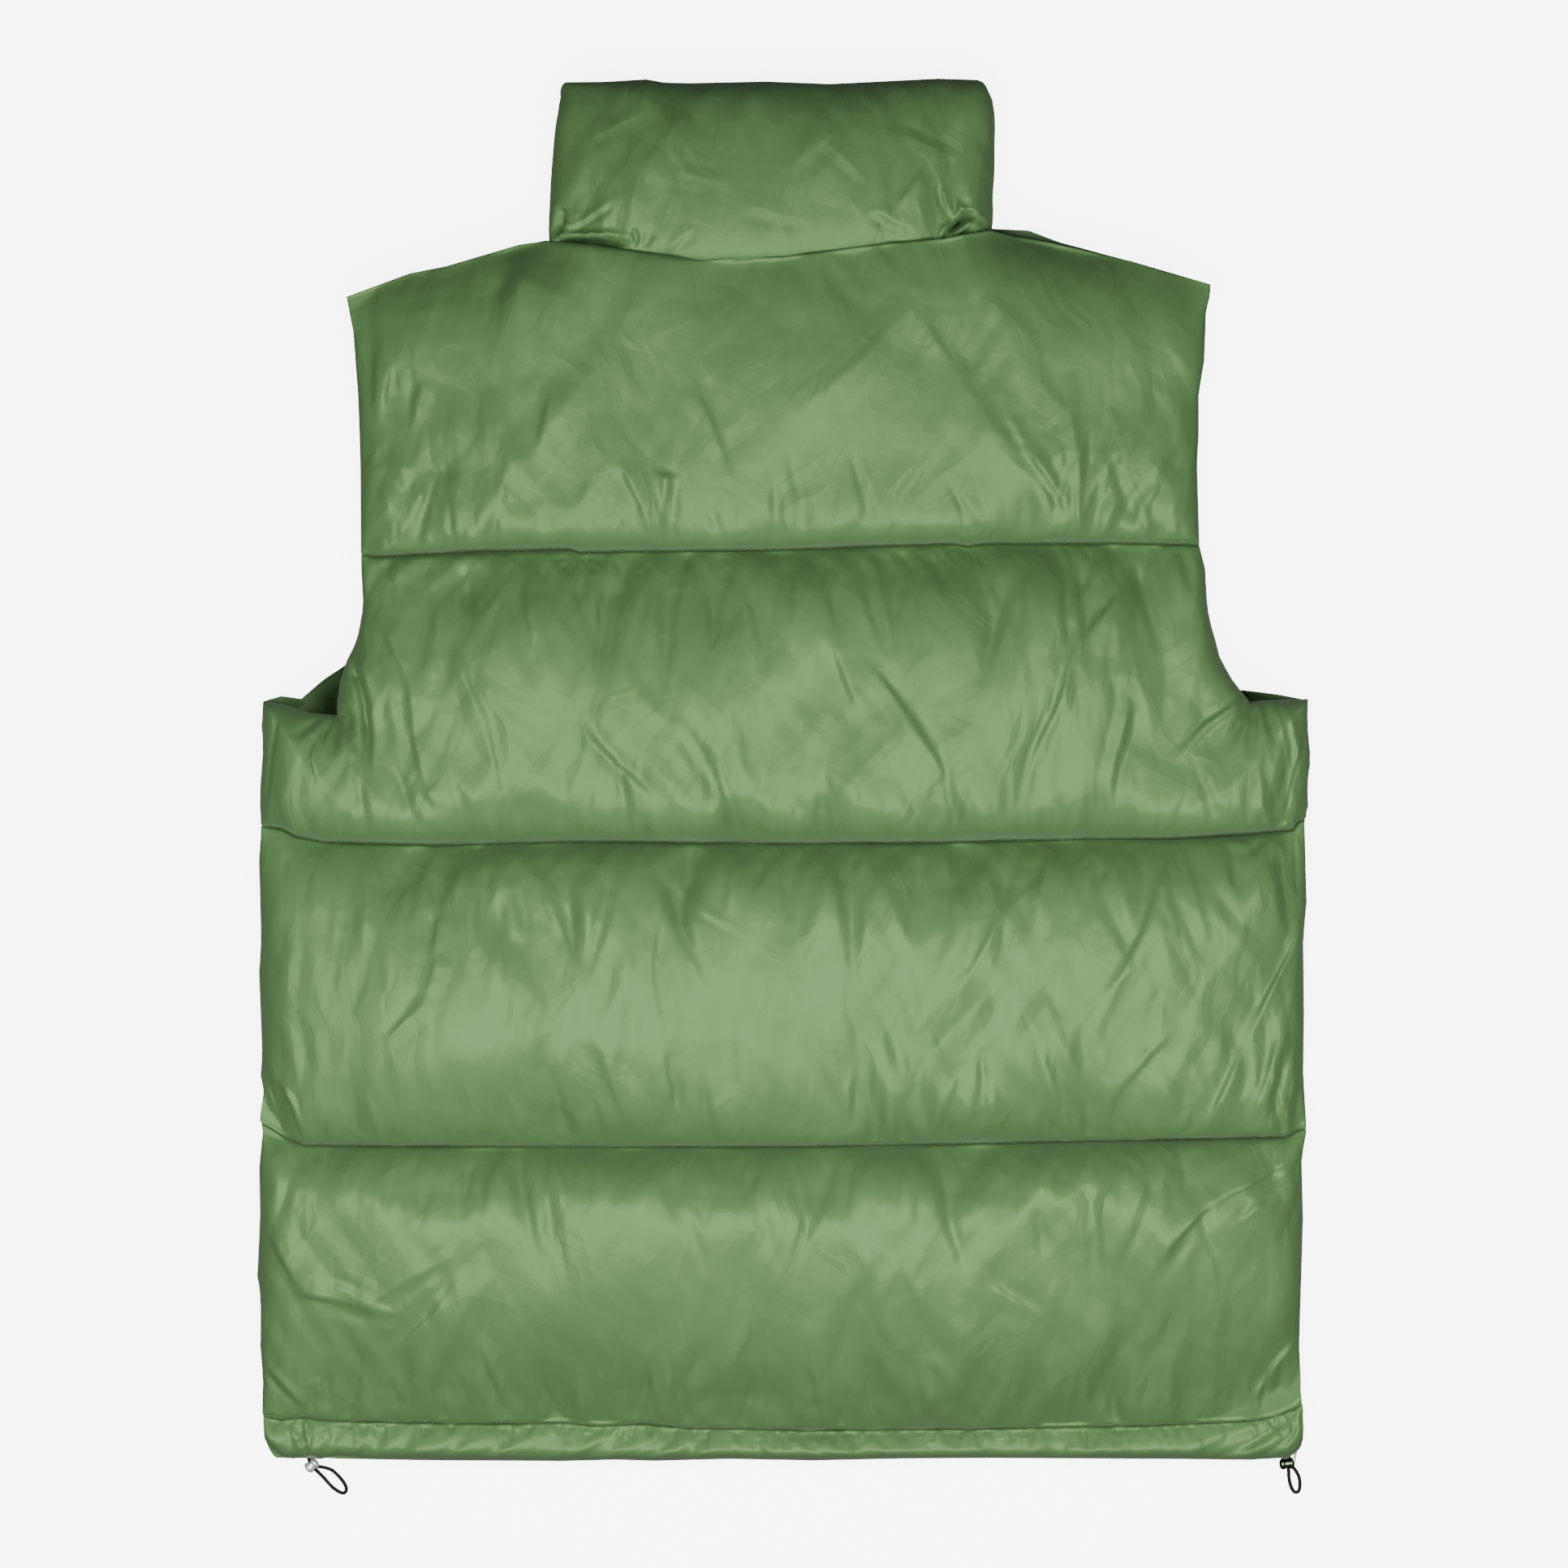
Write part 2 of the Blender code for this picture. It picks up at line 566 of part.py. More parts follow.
def collar_stations(back, fronts):
    """The stations round the flattened collar: X along the slit, and the direction in which the
    wall lies from it. They stand at the points of the panels that the collar is sewn to."""
    slit_left = collar_side(0, -1) + EDGE_WALL
    slit_right = collar_side(0, 1) - EDGE_WALL

    def along(grid, low, high):
        return [low] + [x for x in grid.x[-1] if low + 1 < x < high - 1] + [high]

    stations = [(x, -90.0) for x in along(fronts[-1], slit_left, -ZIP_HALF)[::-1]]
    stations += [(slit_left, -90.0 - 180.0 * k / FOLD_STEPS) for k in range(1, FOLD_STEPS)]
    stations += [(x, 90.0) for x in along(back, slit_left, slit_right)]
    stations += [(slit_right, 90.0 - 180.0 * k / FOLD_STEPS) for k in range(1, FOLD_STEPS)]
    stations += [(x, -90.0) for x in along(fronts[1], ZIP_HALF, slit_right)[::-1]]
    return np.array(stations)


def collar_seam(back, fronts, x, turn):
    """Y of the collar's seam: the fronts' neck below the lie surface, the back's above it."""
    seam_x = x + EDGE_WALL * np.cos(turn)
    upper_layer = np.clip(np.sin(turn), 0, 1)
    front = np.where(x < 0, neck_seam(fronts[-1])(seam_x), neck_seam(fronts[1])(seam_x))
    return neck_seam(back)(seam_x) * upper_layer + front * (1 - upper_layer) + SEAM_GAP


def make_collar(back, fronts):
    """The stand collar: one padded wall that runs from the zip round both folds and back."""
    share = np.linspace(0, 1, COLLAR_ROWS)[:, None]
    stations = collar_stations(back, fronts)
    base_x = stations[None, :, 0]
    turn = np.radians(stations[None, :, 1])
    seam_y = collar_seam(back, fronts, base_x, turn)
    upward = np.sin(turn)
    lower_layer = (1 - upward) / 2
    plump = arc_rise(share, 2.0, 0.9) / 0.9
    side_wall = EDGE_WALL + COLLAR_SIDE_LOFT * plump
    left = collar_side(share, -1) + side_wall
    right = collar_side(share, 1) - side_wall
    slit_end = np.where(base_x < 0, left, right)
    slit_base = np.where(base_x < 0, left[0], right[0])
    reach = (np.abs(base_x) - ZIP_HALF) / (np.abs(slit_base) - ZIP_HALF)
    beside_zip = ZIP_HALF + np.clip(reach, 0, 1) * (np.abs(slit_end) - ZIP_HALF)
    across = base_x * slit_end / slit_base
    x = np.where(upward < -0.99, np.sign(base_x) * beside_zip, across)
    top_y = read_table(COLLAR_TOP_EDGE, x) - COLLAR_FRONT_DIP * lower_layer
    y = seam_y + (top_y - seam_y) * share
    middle = lie_height(y)
    centre = 0.14 + 0.86 * round_down(np.abs(x) - ZIP_HALF, CENTRE_ROUND)
    upper_wall = EDGE_WALL + COLLAR_LOFT * plump
    lower_wall = EDGE_WALL + FRONT_LOFT * 0.7 * plump * centre
    layer_wall = np.where(upward > 0, upper_wall, np.minimum(lower_wall, middle - SEAM_GAP))
    wall = side_wall * np.cos(turn) ** 2 + layer_wall * upward ** 2
    outer = np.stack(
        [x + wall * np.cos(turn), y, np.maximum(middle + (wall + SEAM_GAP) * upward, 0)], axis=-1
    )
    inner = np.stack(
        [x + FOLD_TIP * np.cos(turn), y, middle + SEAM_GAP * upward], axis=-1
    )
    mesh = sheet_solid("collar", outer, inner)
    return add_piece("collar", mesh, finish_material("collar_nylon", GREEN_NYLON, 0.42))


# ---- zip -------------------------------------------------------------------------------------------
def strip_along_zip(name, x_low, x_high, thick, y_low, y_high, material):
    """A flat strip that follows the lie surface from hem to collar."""
    bends = [y for y in (HEM_BREAK, NECK_BREAK) if y_low < y < y_high]
    y = np.array([y_low] + bends + [y_high])[:, None] * np.ones((1, 2))
    x = np.array([[x_low, x_high]]) * np.ones_like(y)
    middle = lie_height(y) - TAPE_DEPTH
    upper = np.stack([x, y, middle + thick / 2], axis=-1)
    lower = np.stack([x, y, middle - thick / 2], axis=-1)
    return add_piece(name, sheet_solid(name, upper, lower), material, smooth=False)


def box_mesh(name, low, high):
    """A box between two corners."""
    work = bmesh.new()
    bmesh.ops.create_cube(work, size=1.0)
    size = np.array(high) - np.array(low)
    centre = (np.array(high) + np.array(low)) / 2
    for corner in work.verts:
        corner.co = (np.array(corner.co) * size + centre) * MM
    mesh = bpy.data.meshes.new(name)
    work.to_mesh(mesh)
    work.free()
    return mesh


def joined_boxes(name, boxes, material):
    """One solid from boxes that run into each other."""
    body = add_piece(name, box_mesh(name, *boxes[0]), material, smooth=False)
    for n, (low, high) in enumerate(boxes[1:]):
        helper = bpy.data.objects.new(f"{name}_part_{n}", box_mesh(f"{name}_part_{n}", low, high))
        parts_collection().objects.link(helper)
        join = body.modifiers.new(f"join_{n}", "BOOLEAN")
        join.operation = "UNION"
        join.object = helper
        graph = bpy.context.evaluated_depsgraph_get()
        joined = bpy.data.meshes.new_from_object(body.evaluated_get(graph))
        body.modifiers.clear()
        body.data = joined
        bpy.data.objects.remove(helper, do_unlink=True)
    return body


def zip_top():
    """Y of the front collar's upper edge at the zip."""
    return float(read_table(COLLAR_TOP_EDGE, 0)) - COLLAR_FRONT_DIP


def make_zip():
    """Two tapes, the closed chain, its retainer at the hem, and the slider at the collar."""
    low = HEM_END + 2.0
    high = zip_top() - 2.0
    slider_low = high - SLIDER_LENGTH
    tape = finish_material("zip_tape", GREEN_NYLON, 0.7)
    metal = finish_material("zip_metal", CHROME, 0.3, 1.0)
    inner = CHAIN_HALF + SEAM_GAP
    outer = ZIP_HALF - SEAM_GAP
    strip_along_zip("zip_tape_left", -outer, -inner, TAPE_THICK, low, high, tape)
    strip_along_zip("zip_tape_right", inner, outer, TAPE_THICK, low, high, tape)
    chain_low = low + RETAINER_LENGTH + SEAM_GAP
    chain_high = slider_low - SEAM_GAP
    teeth = finish_material("zip_teeth", DARK_TEETH, 0.4)
    strip_along_zip("zip_chain", -CHAIN_HALF, CHAIN_HALF, CHAIN_THICK, chain_low, chain_high, teeth)
    retainer_end = low + RETAINER_LENGTH
    strip_along_zip("zip_retainer", -CHAIN_HALF, CHAIN_HALF, CHAIN_THICK + 0.8, low, retainer_end, teeth)
    top = float(lie_height(high)) - 1.0
    tape_under = float(lie_height(high)) - TAPE_DEPTH - TAPE_THICK / 2 - SEAM_GAP
    face = float(lie_height(slider_low)) - SLIDER_DEEP
    middle = (slider_low + high) / 2
    half = BRIDGE_LENGTH / 2
    crown = face - BRIDGE_RISE
    joined_boxes(
        "zip_slider",
        (
            ((-SLIDER_HALF, slider_low, face), (SLIDER_HALF, high, tape_under)),
            ((-CHAIN_HALF + 0.4, slider_low, tape_under - 1), (CHAIN_HALF - 0.4, high, top)),
            ((-BRIDGE_HALF, middle - half, crown), (BRIDGE_HALF, middle + half, crown + BRIDGE_BAR)),
            ((-BRIDGE_HALF, middle - half, crown), (BRIDGE_HALF, middle - half + BRIDGE_BAR, face + 1)),
            ((-BRIDGE_HALF, middle + half - BRIDGE_BAR, crown), (BRIDGE_HALF, middle + half, face + 1)),
        ),
        metal,
    )
    pivot = (0.0, middle, face - (BRIDGE_RISE - BRIDGE_BAR) / 2)
    make_pull(pivot, finish_material("pull_metal", CHROME, 0.3, 1.0))


def make_pull(pivot, material):
    """The pull tab: a flat plate whose looped end runs under the slider's bridge. It hangs from
    its pivot, and its object's origin is on the pivot's axis."""
    bar = 0.6  # half thickness of the end bar that turns under the bridge
    window = BRIDGE_HALF + 0.5
    reach = BRIDGE_LENGTH / 2 + 1.6
    thin = PULL_THICK / 2
    body = joined_boxes(
        "zip_pull",
        (
            ((-PULL_HALF, -PULL_LENGTH, -thin), (PULL_HALF, -reach, thin)),
            ((-PULL_HALF, -reach - 1, -thin), (-window, bar, bar)),
            ((window, -reach - 1, -thin), (PULL_HALF, bar, bar)),
            ((-window - 1, -bar, -bar), (window + 1, bar, bar)),
        ),
        material,
    )
    body.location = np.array(pivot) * MM
    body.rotation_euler = (math.radians(PULL_HANG), 0, 0)
    return body


# ---- cord locks and loops ----------------------------------------------------------------------------
def make_lock(name, place, heading, material):
    """A barrel lock turned about its own axis, which lies across the cord."""
    profile = (
        (0.0, LOCK_LENGTH / 2), (0.55, LOCK_LENGTH / 2 - 0.1), (0.88, LOCK_LENGTH / 2 - 0.9),
        (1.0, LOCK_LENGTH / 2 - 2.0), (LOCK_WAIST / LOCK_RADIUS, 0.0),
        (1.0, -LOCK_LENGTH / 2 + 2.0), (0.88, -LOCK_LENGTH / 2 + 0.9),
        (0.55, -LOCK_LENGTH / 2 + 0.1), (0.0, -LOCK_LENGTH / 2),
    )
    mesh = bpy.data.meshes.new(name)
    points = [(share * LOCK_RADIUS * MM, 0, height * MM) for share, height in profile]
    mesh.from_pydata(points, [(i, i + 1) for i in range(len(points) - 1)], [])
    body = add_piece(name, mesh, material, smooth=False)
    turned = body.modifiers.new("turned", "SCREW")
    turned.steps = 12
    turned.render_steps = 12
    turned.use_merge_vertices = True
    turned.merge_threshold = 0.00001
    turned.use_normal_calculate = True
    body.location = (place[0] * MM, place[1] * MM, LOCK_HEIGHT * MM)
    body.rotation_euler = (math.radians(90), 0, math.radians(heading))
    return body


def loop_path(points):
    """Even points along a smooth curve through a loop's own points."""
    points = np.array(points, dtype=float)
    steps = 12
    ghost = np.vstack([2 * points[0] - points[1], points, 2 * points[-1] - points[-2]])
    fine = []
    for a, b, c, d in zip(ghost, ghost[1:], ghost[2:], ghost[3:]):
        for t in np.arange(steps) / steps:
            fine.append(0.5 * (2 * b + (c - a) * t + (2 * a - 5 * b + 4 * c - d) * t ** 2
                               + (3 * b - a - 3 * c + d) * t ** 3))
    fine.append(points[-1])
    fine = np.array(fine)
    length = np.concatenate([[0], np.cumsum(np.linalg.norm(np.diff(fine, axis=0), axis=1))])
    even = np.linspace(0, length[-1], LOOP_POINTS)
    return np.stack([np.interp(even, length, fine[:, k]) for k in range(3)], axis=-1)


def make_loop(name, points, material):
    """The elastic's free loop, from the lock out over the surface and back to the lock."""
    path = loop_path(points)
    line = bpy.data.curves.new(name, "CURVE")
    line.dimensions = "3D"
    line.bevel_depth = CORD_RADIUS * MM
    line.bevel_resolution = 2
    line.use_fill_caps = True
    spline = line.splines.new("POLY")
    spline.points.add(len(path) - 1)
    for point, place in zip(spline.points, path):
        point.co = (*(place * MM), 1.0)
    line.materials.append(material)
    body = bpy.data.objects.new(name, line)
    parts_collection().objects.link(body)
    return body


def make_tab(name, start, end, material):
    """A narrow flat tab from under the hem's corner to the lock."""
    start = np.array(start)
    end = np.array(end)
    body = add_piece(
        name,
        box_mesh(name, (-TAB_WIDE / 2, -np.linalg.norm(end - start) / 2, -TAB_THICK / 2),
                 (TAB_WIDE / 2, np.linalg.norm(end - start) / 2, TAB_THICK / 2)),
        material,
        smooth=False,
    )
    middle = (start + end) / 2
    body.location = (middle[0] * MM, middle[1] * MM, TAB_HEIGHT * MM)
    body.rotation_euler = (0, 0, math.atan2(start[0] - end[0], end[1] - start[1]))
    return body


def make_cord_pieces():
    """A lock and a loop at each end of the hem's elastic, and the tab that ties the right lock."""
    metal = finish_material("lock_metal", CHROME, 0.15, 1.0)
    elastic = finish_material("elastic", DARK_CORD, 0.8)
    make_lock("cord_lock_left", LOCK_LEFT, LEFT_HEADING, metal)
    make_lock("cord_lock_right", LOCK_RIGHT, RIGHT_HEADING, metal)
    make_tab("lock_tab_right", TAB_START, TAB_END, finish_material("tab_grey", GREY_TAB, 0.5))
    make_loop("cord_loop_left", LOOP_LEFT, elastic)
    make_loop("cord_loop_right", LOOP_RIGHT, elastic)


def build_vest():
    """Make every piece of the vest."""
    clear_scene()
    back = back_grid()
    fronts = {sign: front_grid(sign) for sign in (-1, 1)}
    make_back(back)
    make_front("front_left", fronts[-1], -1)
    make_front("front_right", fronts[1], 1)
    make_hem_back(back)
    make_hem_front("hem_front_left", fronts[-1])
    make_hem_front("hem_front_right", fronts[1])
    make_collar(back, fronts)
    make_zip()
    make_cord_pieces()


build_vest()
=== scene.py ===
"""The padded vest's looks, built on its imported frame: laid flat on its front with its back up.

+X is to the right, +Y from the hem to the collar, +Z up. Tables and sizes are in millimetres.
"""
import math

import bpy
import numpy as np
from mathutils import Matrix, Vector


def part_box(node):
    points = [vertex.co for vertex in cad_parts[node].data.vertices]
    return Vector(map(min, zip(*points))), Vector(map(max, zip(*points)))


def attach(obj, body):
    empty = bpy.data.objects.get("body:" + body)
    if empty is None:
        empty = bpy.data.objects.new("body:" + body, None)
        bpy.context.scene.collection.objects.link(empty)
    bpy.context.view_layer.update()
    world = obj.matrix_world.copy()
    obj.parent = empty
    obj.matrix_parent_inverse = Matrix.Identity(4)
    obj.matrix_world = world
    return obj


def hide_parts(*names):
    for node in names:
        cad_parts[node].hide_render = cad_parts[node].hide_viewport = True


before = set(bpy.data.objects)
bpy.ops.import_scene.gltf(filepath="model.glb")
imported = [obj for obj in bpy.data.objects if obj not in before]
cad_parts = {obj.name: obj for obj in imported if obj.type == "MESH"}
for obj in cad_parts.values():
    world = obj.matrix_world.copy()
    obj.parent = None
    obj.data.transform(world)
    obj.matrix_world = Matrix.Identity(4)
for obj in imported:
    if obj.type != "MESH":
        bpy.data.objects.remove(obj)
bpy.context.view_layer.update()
MM = 0.001

# ---- Camera ----------------------------------------------------------------------------------
# Straight above the vest, with a long lens, the collar at the top of the frame.
CAMERA_X, CAMERA_Y, CAMERA_HIGH = 0.45, -7.4, 3240.0
FRAME_WIDE = 861.6
FRAME_LEVEL = 40.0  # height at which the frame is that wide
SENSOR = 36.0


def placed(name, data):
    """A new object in the scene."""
    made = bpy.data.objects.new(name, data)
    bpy.context.scene.collection.objects.link(made)
    return made


lens = bpy.data.cameras.new("camera")
lens.sensor_width = SENSOR
lens.lens = SENSOR * (CAMERA_HIGH - FRAME_LEVEL) / FRAME_WIDE
lens.clip_end = 20.0
camera = placed("camera", lens)
camera.location = (CAMERA_X * MM, CAMERA_Y * MM, CAMERA_HIGH * MM)
bpy.context.scene.camera = camera

# ---- Elastic loops ---------------------------------------------------------------------------
# The free ends of the hem's drawcord: round braided elastic, one open curve each, from a turned
# metal barrel lock out over the surface and back into it. A ribbon ties the right lock to the hem.
LOOP_RADIUS = 1.05
LOOP_LOW = 1.35
LOOP_LEFT = (
    (-260.2, -388.0, 4.3), (-256.0, -392.6, LOOP_LOW), (-251.2, -397.9, LOOP_LOW),
    (-247.0, -401.0, LOOP_LOW), (-244.0, -401.6, LOOP_LOW), (-242.9, -399.0, LOOP_LOW),
    (-245.4, -394.4, LOOP_LOW), (-250.5, -389.2, 1.8), (-255.6, -387.1, 3.6), (-259.6, -386.6, 4.4),
)
LOOP_RIGHT = (
    (280.7, -386.6, 4.4), (281.0, -389.6, 3.0), (281.3, -393.4, LOOP_LOW),
    (282.3, -397.8, LOOP_LOW), (284.2, -401.0, LOOP_LOW), (286.5, -400.8, LOOP_LOW),
    (287.4, -397.4, LOOP_LOW), (286.8, -392.8, LOOP_LOW), (284.8, -388.9, 2.8),
    (282.2, -386.2, 4.4),
)


def principled(name, colour, roughness, metallic=0.0, specular=0.5):
    """A Principled material with its plain numbers set on the shader's own sockets."""
    made = bpy.data.materials.new(name)
    made.use_nodes = True
    shader = made.node_tree.nodes["Principled BSDF"]
    shader.inputs["Base Color"].default_value = (*colour, 1.0)
    shader.inputs["Roughness"].default_value = roughness
    shader.inputs["Metallic"].default_value = metallic
    shader.inputs["Specular IOR Level"].default_value = specular
    return made, made.node_tree, shader


def node(tree, kind, output, inputs=None, **settings):
    """An output of a new shader node. An input given as another node's output is linked."""
    made = tree.nodes.new("ShaderNode" + kind)
    for key, value in settings.items():
        setattr(made, key, value)
    for key, value in (inputs or {}).items():
        if isinstance(value, bpy.types.NodeSocket):
            tree.links.new(value, made.inputs[key])
        else:
            made.inputs[key].default_value = value
    return made.outputs[output]


def two_tones(tree, factor, dark, light):
    """The colour between two tones at a factor."""
    ends = {"Factor": factor, "A": (*dark, 1.0), "B": (*light, 1.0)}
    return node(tree, "Mix", "Result", ends, data_type="RGBA")


def bump(tree, height, strength, distance, under=None):
    """The normal of a raised height, on top of another bump's if one is given."""
    inputs = {"Height": height, "Strength": strength, "Distance": distance}
    if under:
        inputs["Normal"] = under
    return node(tree, "Bump", "Normal", inputs)


def grained(name, colour, finish, pattern, dark, light, strength=0.0, distance=0.0, **settings):
    """A material whose two tones and bump follow one texture on the object's own coordinates.
    finish is roughness, metallic and specular; pattern is the texture, its output and inputs."""
    made, tree, shader = principled(name, colour, *finish)
    kind, output, inputs = pattern
    place = node(tree, "TexCoord", "Object")
    grain = node(tree, kind, output, {"Vector": place, **inputs}, **settings)
    tree.links.new(two_tones(tree, grain, dark, light), shader.inputs["Base Color"])
    if strength:
        tree.links.new(bump(tree, grain, strength, distance), shader.inputs["Normal"])
    return made


def lengths(line):
    """The way along a line of points from its start to each."""
    steps = np.linalg.norm(np.diff(line, axis=0), axis=1)
    return np.concatenate([[0], np.cumsum(steps)])


def even_curve(points, spacing):
    """Points at an even spacing along a smooth curve that runs through the given points."""
    points = np.array(points, dtype=float)
    ghost = np.vstack([2 * points[0] - points[1], points, 2 * points[-1] - points[-2]])
    t = np.linspace(0, 1, 16, endpoint=False)[:, None]
    fine = [
        0.5 * (2 * b + (c - a) * t + (2 * a - 5 * b + 4 * c - d) * t ** 2
               + (3 * b - a - 3 * c + d) * t ** 3)
        for a, b, c, d in zip(ghost, ghost[1:], ghost[2:], ghost[3:])
    ]
    fine = np.vstack(fine + [points[-1:]])
    along = lengths(fine)
    places = np.linspace(0, along[-1], max(int(round(along[-1] / spacing)), 2) + 1)
    return np.stack([np.interp(places, along, fine[:, k]) for k in range(3)], axis=-1), along[-1]


elastic = grained(
    "elastic_braid", (0.006, 0.008, 0.006), (0.85, 0.0, 0.12),
    ("TexVoronoi", "Distance", {"Scale": 1600.0}),
    (0.0035, 0.0048, 0.0035), (0.011, 0.014, 0.011), 0.5, 0.0002,
)
ribbon = grained(
    "lock_ribbon", (0.5, 0.52, 0.49), (0.5,),
    ("TexWave", "Fac", {"Scale": 500.0, "Distortion": 0.6}),
    (0.36, 0.38, 0.35), (0.60, 0.62, 0.58), 0.5, 0.0002, bands_direction="Y",
)
chromes = {}
for name, colour, roughness, metallic in (
    # Its faint green tint and its share of plain light grey that is not metal are painted
    # reflection, of the green vest and of a bright room.
    ("polished_lock", (0.74, 0.76, 0.73), 0.16, 0.7),
    # Its dark green-black base colour is a painted reflection of the green vest.
    ("smoked_lock", (0.10, 0.15, 0.09), 0.14, 1.0),
):
    chromes[name], tree, shader = principled(name, colour, roughness, metallic)
    place = node(tree, "TexCoord", "Object")
    wear = node(tree, "TexNoise", "Fac", {"Vector": place, "Scale": 900.0, "Detail": 4.0})
    spread = node(tree, "MapRange", "Result", {"Value": wear, "To Min": 0.08, "To Max": 0.26})
    tree.links.new(spread, shader.inputs["Roughness"])
    tree.links.new(bump(tree, wear, 0.12, 0.0001), shader.inputs["Normal"])


def mesh_object(name, points, faces, material, slot, stands_for=None, body="vest"):
    """A smooth mesh at the origin from points in millimetres. It rides on a body, takes a
    material and may stand for a CAD node. Its slot is not used."""
    mesh = bpy.data.meshes.new(name)
    mesh.from_pydata((np.asarray(points) * MM).tolist(), [], faces)
    mesh.validate()
    mesh.shade_smooth()
    mesh.materials.append(material)
    made = placed(name, mesh)
    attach(made, body)
    if stands_for:
        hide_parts(stands_for)
    return made


def ring_mesh(rings):
    """Points and faces of a closed form from rings of as many points each, the first and last
    ring closed by one face. Rings run against the clock as seen from the last one."""
    rings = np.asarray(rings, dtype=float)
    count, around = rings.shape[:2]
    index = np.arange(count * around).reshape(count, around)
    turned = np.roll(index, -1, axis=1)
    sides = np.stack([index[:-1], turned[:-1], turned[1:], index[1:]], -1).reshape(-1, 4).tolist()
    return rings.reshape(-1, 3), sides + [index[0, ::-1].tolist(), index[-1].tolist()]


def turned_rings(profile, centre, axis, around=28):
    """Rings of a turned form: radius r at a place a along the axis is centre + a axis
    + r (cos t side + sin t up)."""
    axis = np.array(axis) / np.linalg.norm(axis)
    side = np.cross((0, 0, 1.0), axis)
    side /= np.linalg.norm(side)
    up = np.cross(axis, side)
    t = np.arange(around) / around * 2 * math.pi
    circle = np.cos(t)[:, None] * side + np.sin(t)[:, None] * up
    return [np.array(centre) + along * axis + radius * circle for along, radius in profile]


LOCK_HEIGHT = 4.4
# Place along the barrel's axis and radius: domed ends, a raised lip each, and a waist
BARREL = (
    (-4.3, 0.25), (-4.22, 1.3), (-3.95, 2.1), (-3.5, 2.7), (-2.9, 3.08), (-2.3, 3.2), (-1.8, 3.12),
    (-1.6, 2.9), (-0.8, 2.78), (0.8, 2.78), (1.6, 2.9), (1.8, 3.12), (2.3, 3.2), (2.9, 3.08),
    (3.5, 2.7), (3.95, 2.1), (4.22, 1.3), (4.3, 0.25),
)
STUB_RADIUS, STUB_HEIGHT = 1.1, 5.0
# Barrel's middle, heading in degrees, share of the full length, finish, and the stub's ends
LOCKS = {
    "left": ((-261.9, -386.0), 130.0, 0.9, "polished_lock", ((-264.0, -379.6), (-262.8, -385.0))),
    # The right lock's dark green colour is a painted reflection of the vest.
    "right": ((279.9, -385.0), 96.0, 1.0, "smoked_lock", ((281.6, -377.6), (280.6, -384.0))),
}
for side, (place, heading, share, finish, stub_ends) in LOCKS.items():
    turn = math.radians(heading)
    profile = [(along * share, radius) for along, radius in BARREL]
    rings = turned_rings(profile, (*place, LOCK_HEIGHT), (math.sin(turn), -math.cos(turn), 0.0))
    names = f"cord_lock_{side}_barrel", f"cord_lock_{side}"
    lock = mesh_object(names[0], *ring_mesh(rings), chromes[finish], "metal", names[1])
    start, end = np.array([(*spot, STUB_HEIGHT) for spot in stub_ends])
    long = np.linalg.norm(end - start)
    profile = [(0.0, STUB_RADIUS * 0.8), (0.3, STUB_RADIUS), (long - 0.3, STUB_RADIUS), (long, 0.8)]
    rings = turned_rings(profile, start, end - start, 12)
    stub = mesh_object(f"elastic_end_{side}", *ring_mesh(rings), elastic, "elastic")

TAB_START, TAB_END = np.array((285.2, -375.4, 5.2)), np.array((283.4, -384.4, 6.0))
TAB_HALF, TAB_HALF_THICK, TAB_BOW = 0.9, 0.3, 0.35
along = np.linspace(0, 1, 9)[:, None, None]
t = (np.arange(12) / 12 * 2 * math.pi)[None, :, None]
across = np.sign(np.cos(t)) * np.abs(np.cos(t)) ** 0.5 * TAB_HALF
thick = np.sign(np.sin(t)) * np.abs(np.sin(t)) ** 0.5 * TAB_HALF_THICK
thick = thick + TAB_BOW * np.sin(along * math.pi)
rings = TAB_START + (TAB_END - TAB_START) * along + across * np.eye(3)[0] + thick * np.eye(3)[2]
mesh_object("lock_ribbon", *ring_mesh(rings[::-1]), ribbon, "tab", "lock_tab_right")

for side, route in (("left", LOOP_LEFT), ("right", LOOP_RIGHT)):
    path, length = even_curve(route, 0.7)
    line = bpy.data.curves.new(f"elastic_loop_{side}", "CURVE")
    line.dimensions = "3D"
    line.bevel_depth = LOOP_RADIUS * MM
    line.bevel_resolution = 4
    line.use_fill_caps = True
    spline = line.splines.new("POLY")
    spline.points.add(len(path) - 1)
    for point, place in zip(spline.points, path):
        point.co = (*(place * MM), 1.0)
    line.materials.append(elastic)
    loop = placed(f"elastic_loop_{side}", line)
    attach(loop, "vest")
    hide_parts(f"cord_loop_{side}")

# ---- Nylon -----------------------------------------------------------------------------------
# The shell cloth of every padded piece: thin green nylon with a broad soft gloss, a fine
# plain weave, and small creases too low to model.
nylon, tree, shader = principled("green_nylon", (0.105, 0.205, 0.066), 0.39, specular=0.36)
for socket, value in (
    ("Specular Tint", (0.6, 1.0, 0.4, 1.0)), ("Sheen Weight", 0.12), ("Sheen Roughness", 0.4),
    ("Sheen Tint", (0.75, 0.95, 0.7, 1.0)),
):
    shader.inputs[socket].default_value = value
place = node(tree, "TexCoord", "Object")
mottle = node(tree, "TexNoise", "Fac", {"Vector": place, "Scale": 14.0, "Detail": 3.0})
tone = two_tones(tree, mottle, (0.058, 0.122, 0.043), (0.068, 0.137, 0.050))
tree.links.new(tone, shader.inputs["Base Color"])
crinkle_inputs = {"Vector": place, "Scale": 95.0, "Detail": 4.0, "Roughness": 0.55}
crinkle = node(tree, "TexNoise", "Fac", crinkle_inputs)
drift = node(tree, "TexNoise", "Color", {"Vector": place, "Scale": 11.0, "Detail": 2.0})
added = {0: drift, 1: (0.09, 0.09, 0.0), 2: place}
drifted = node(tree, "VectorMath", "Vector", added, operation="MULTIPLY_ADD")
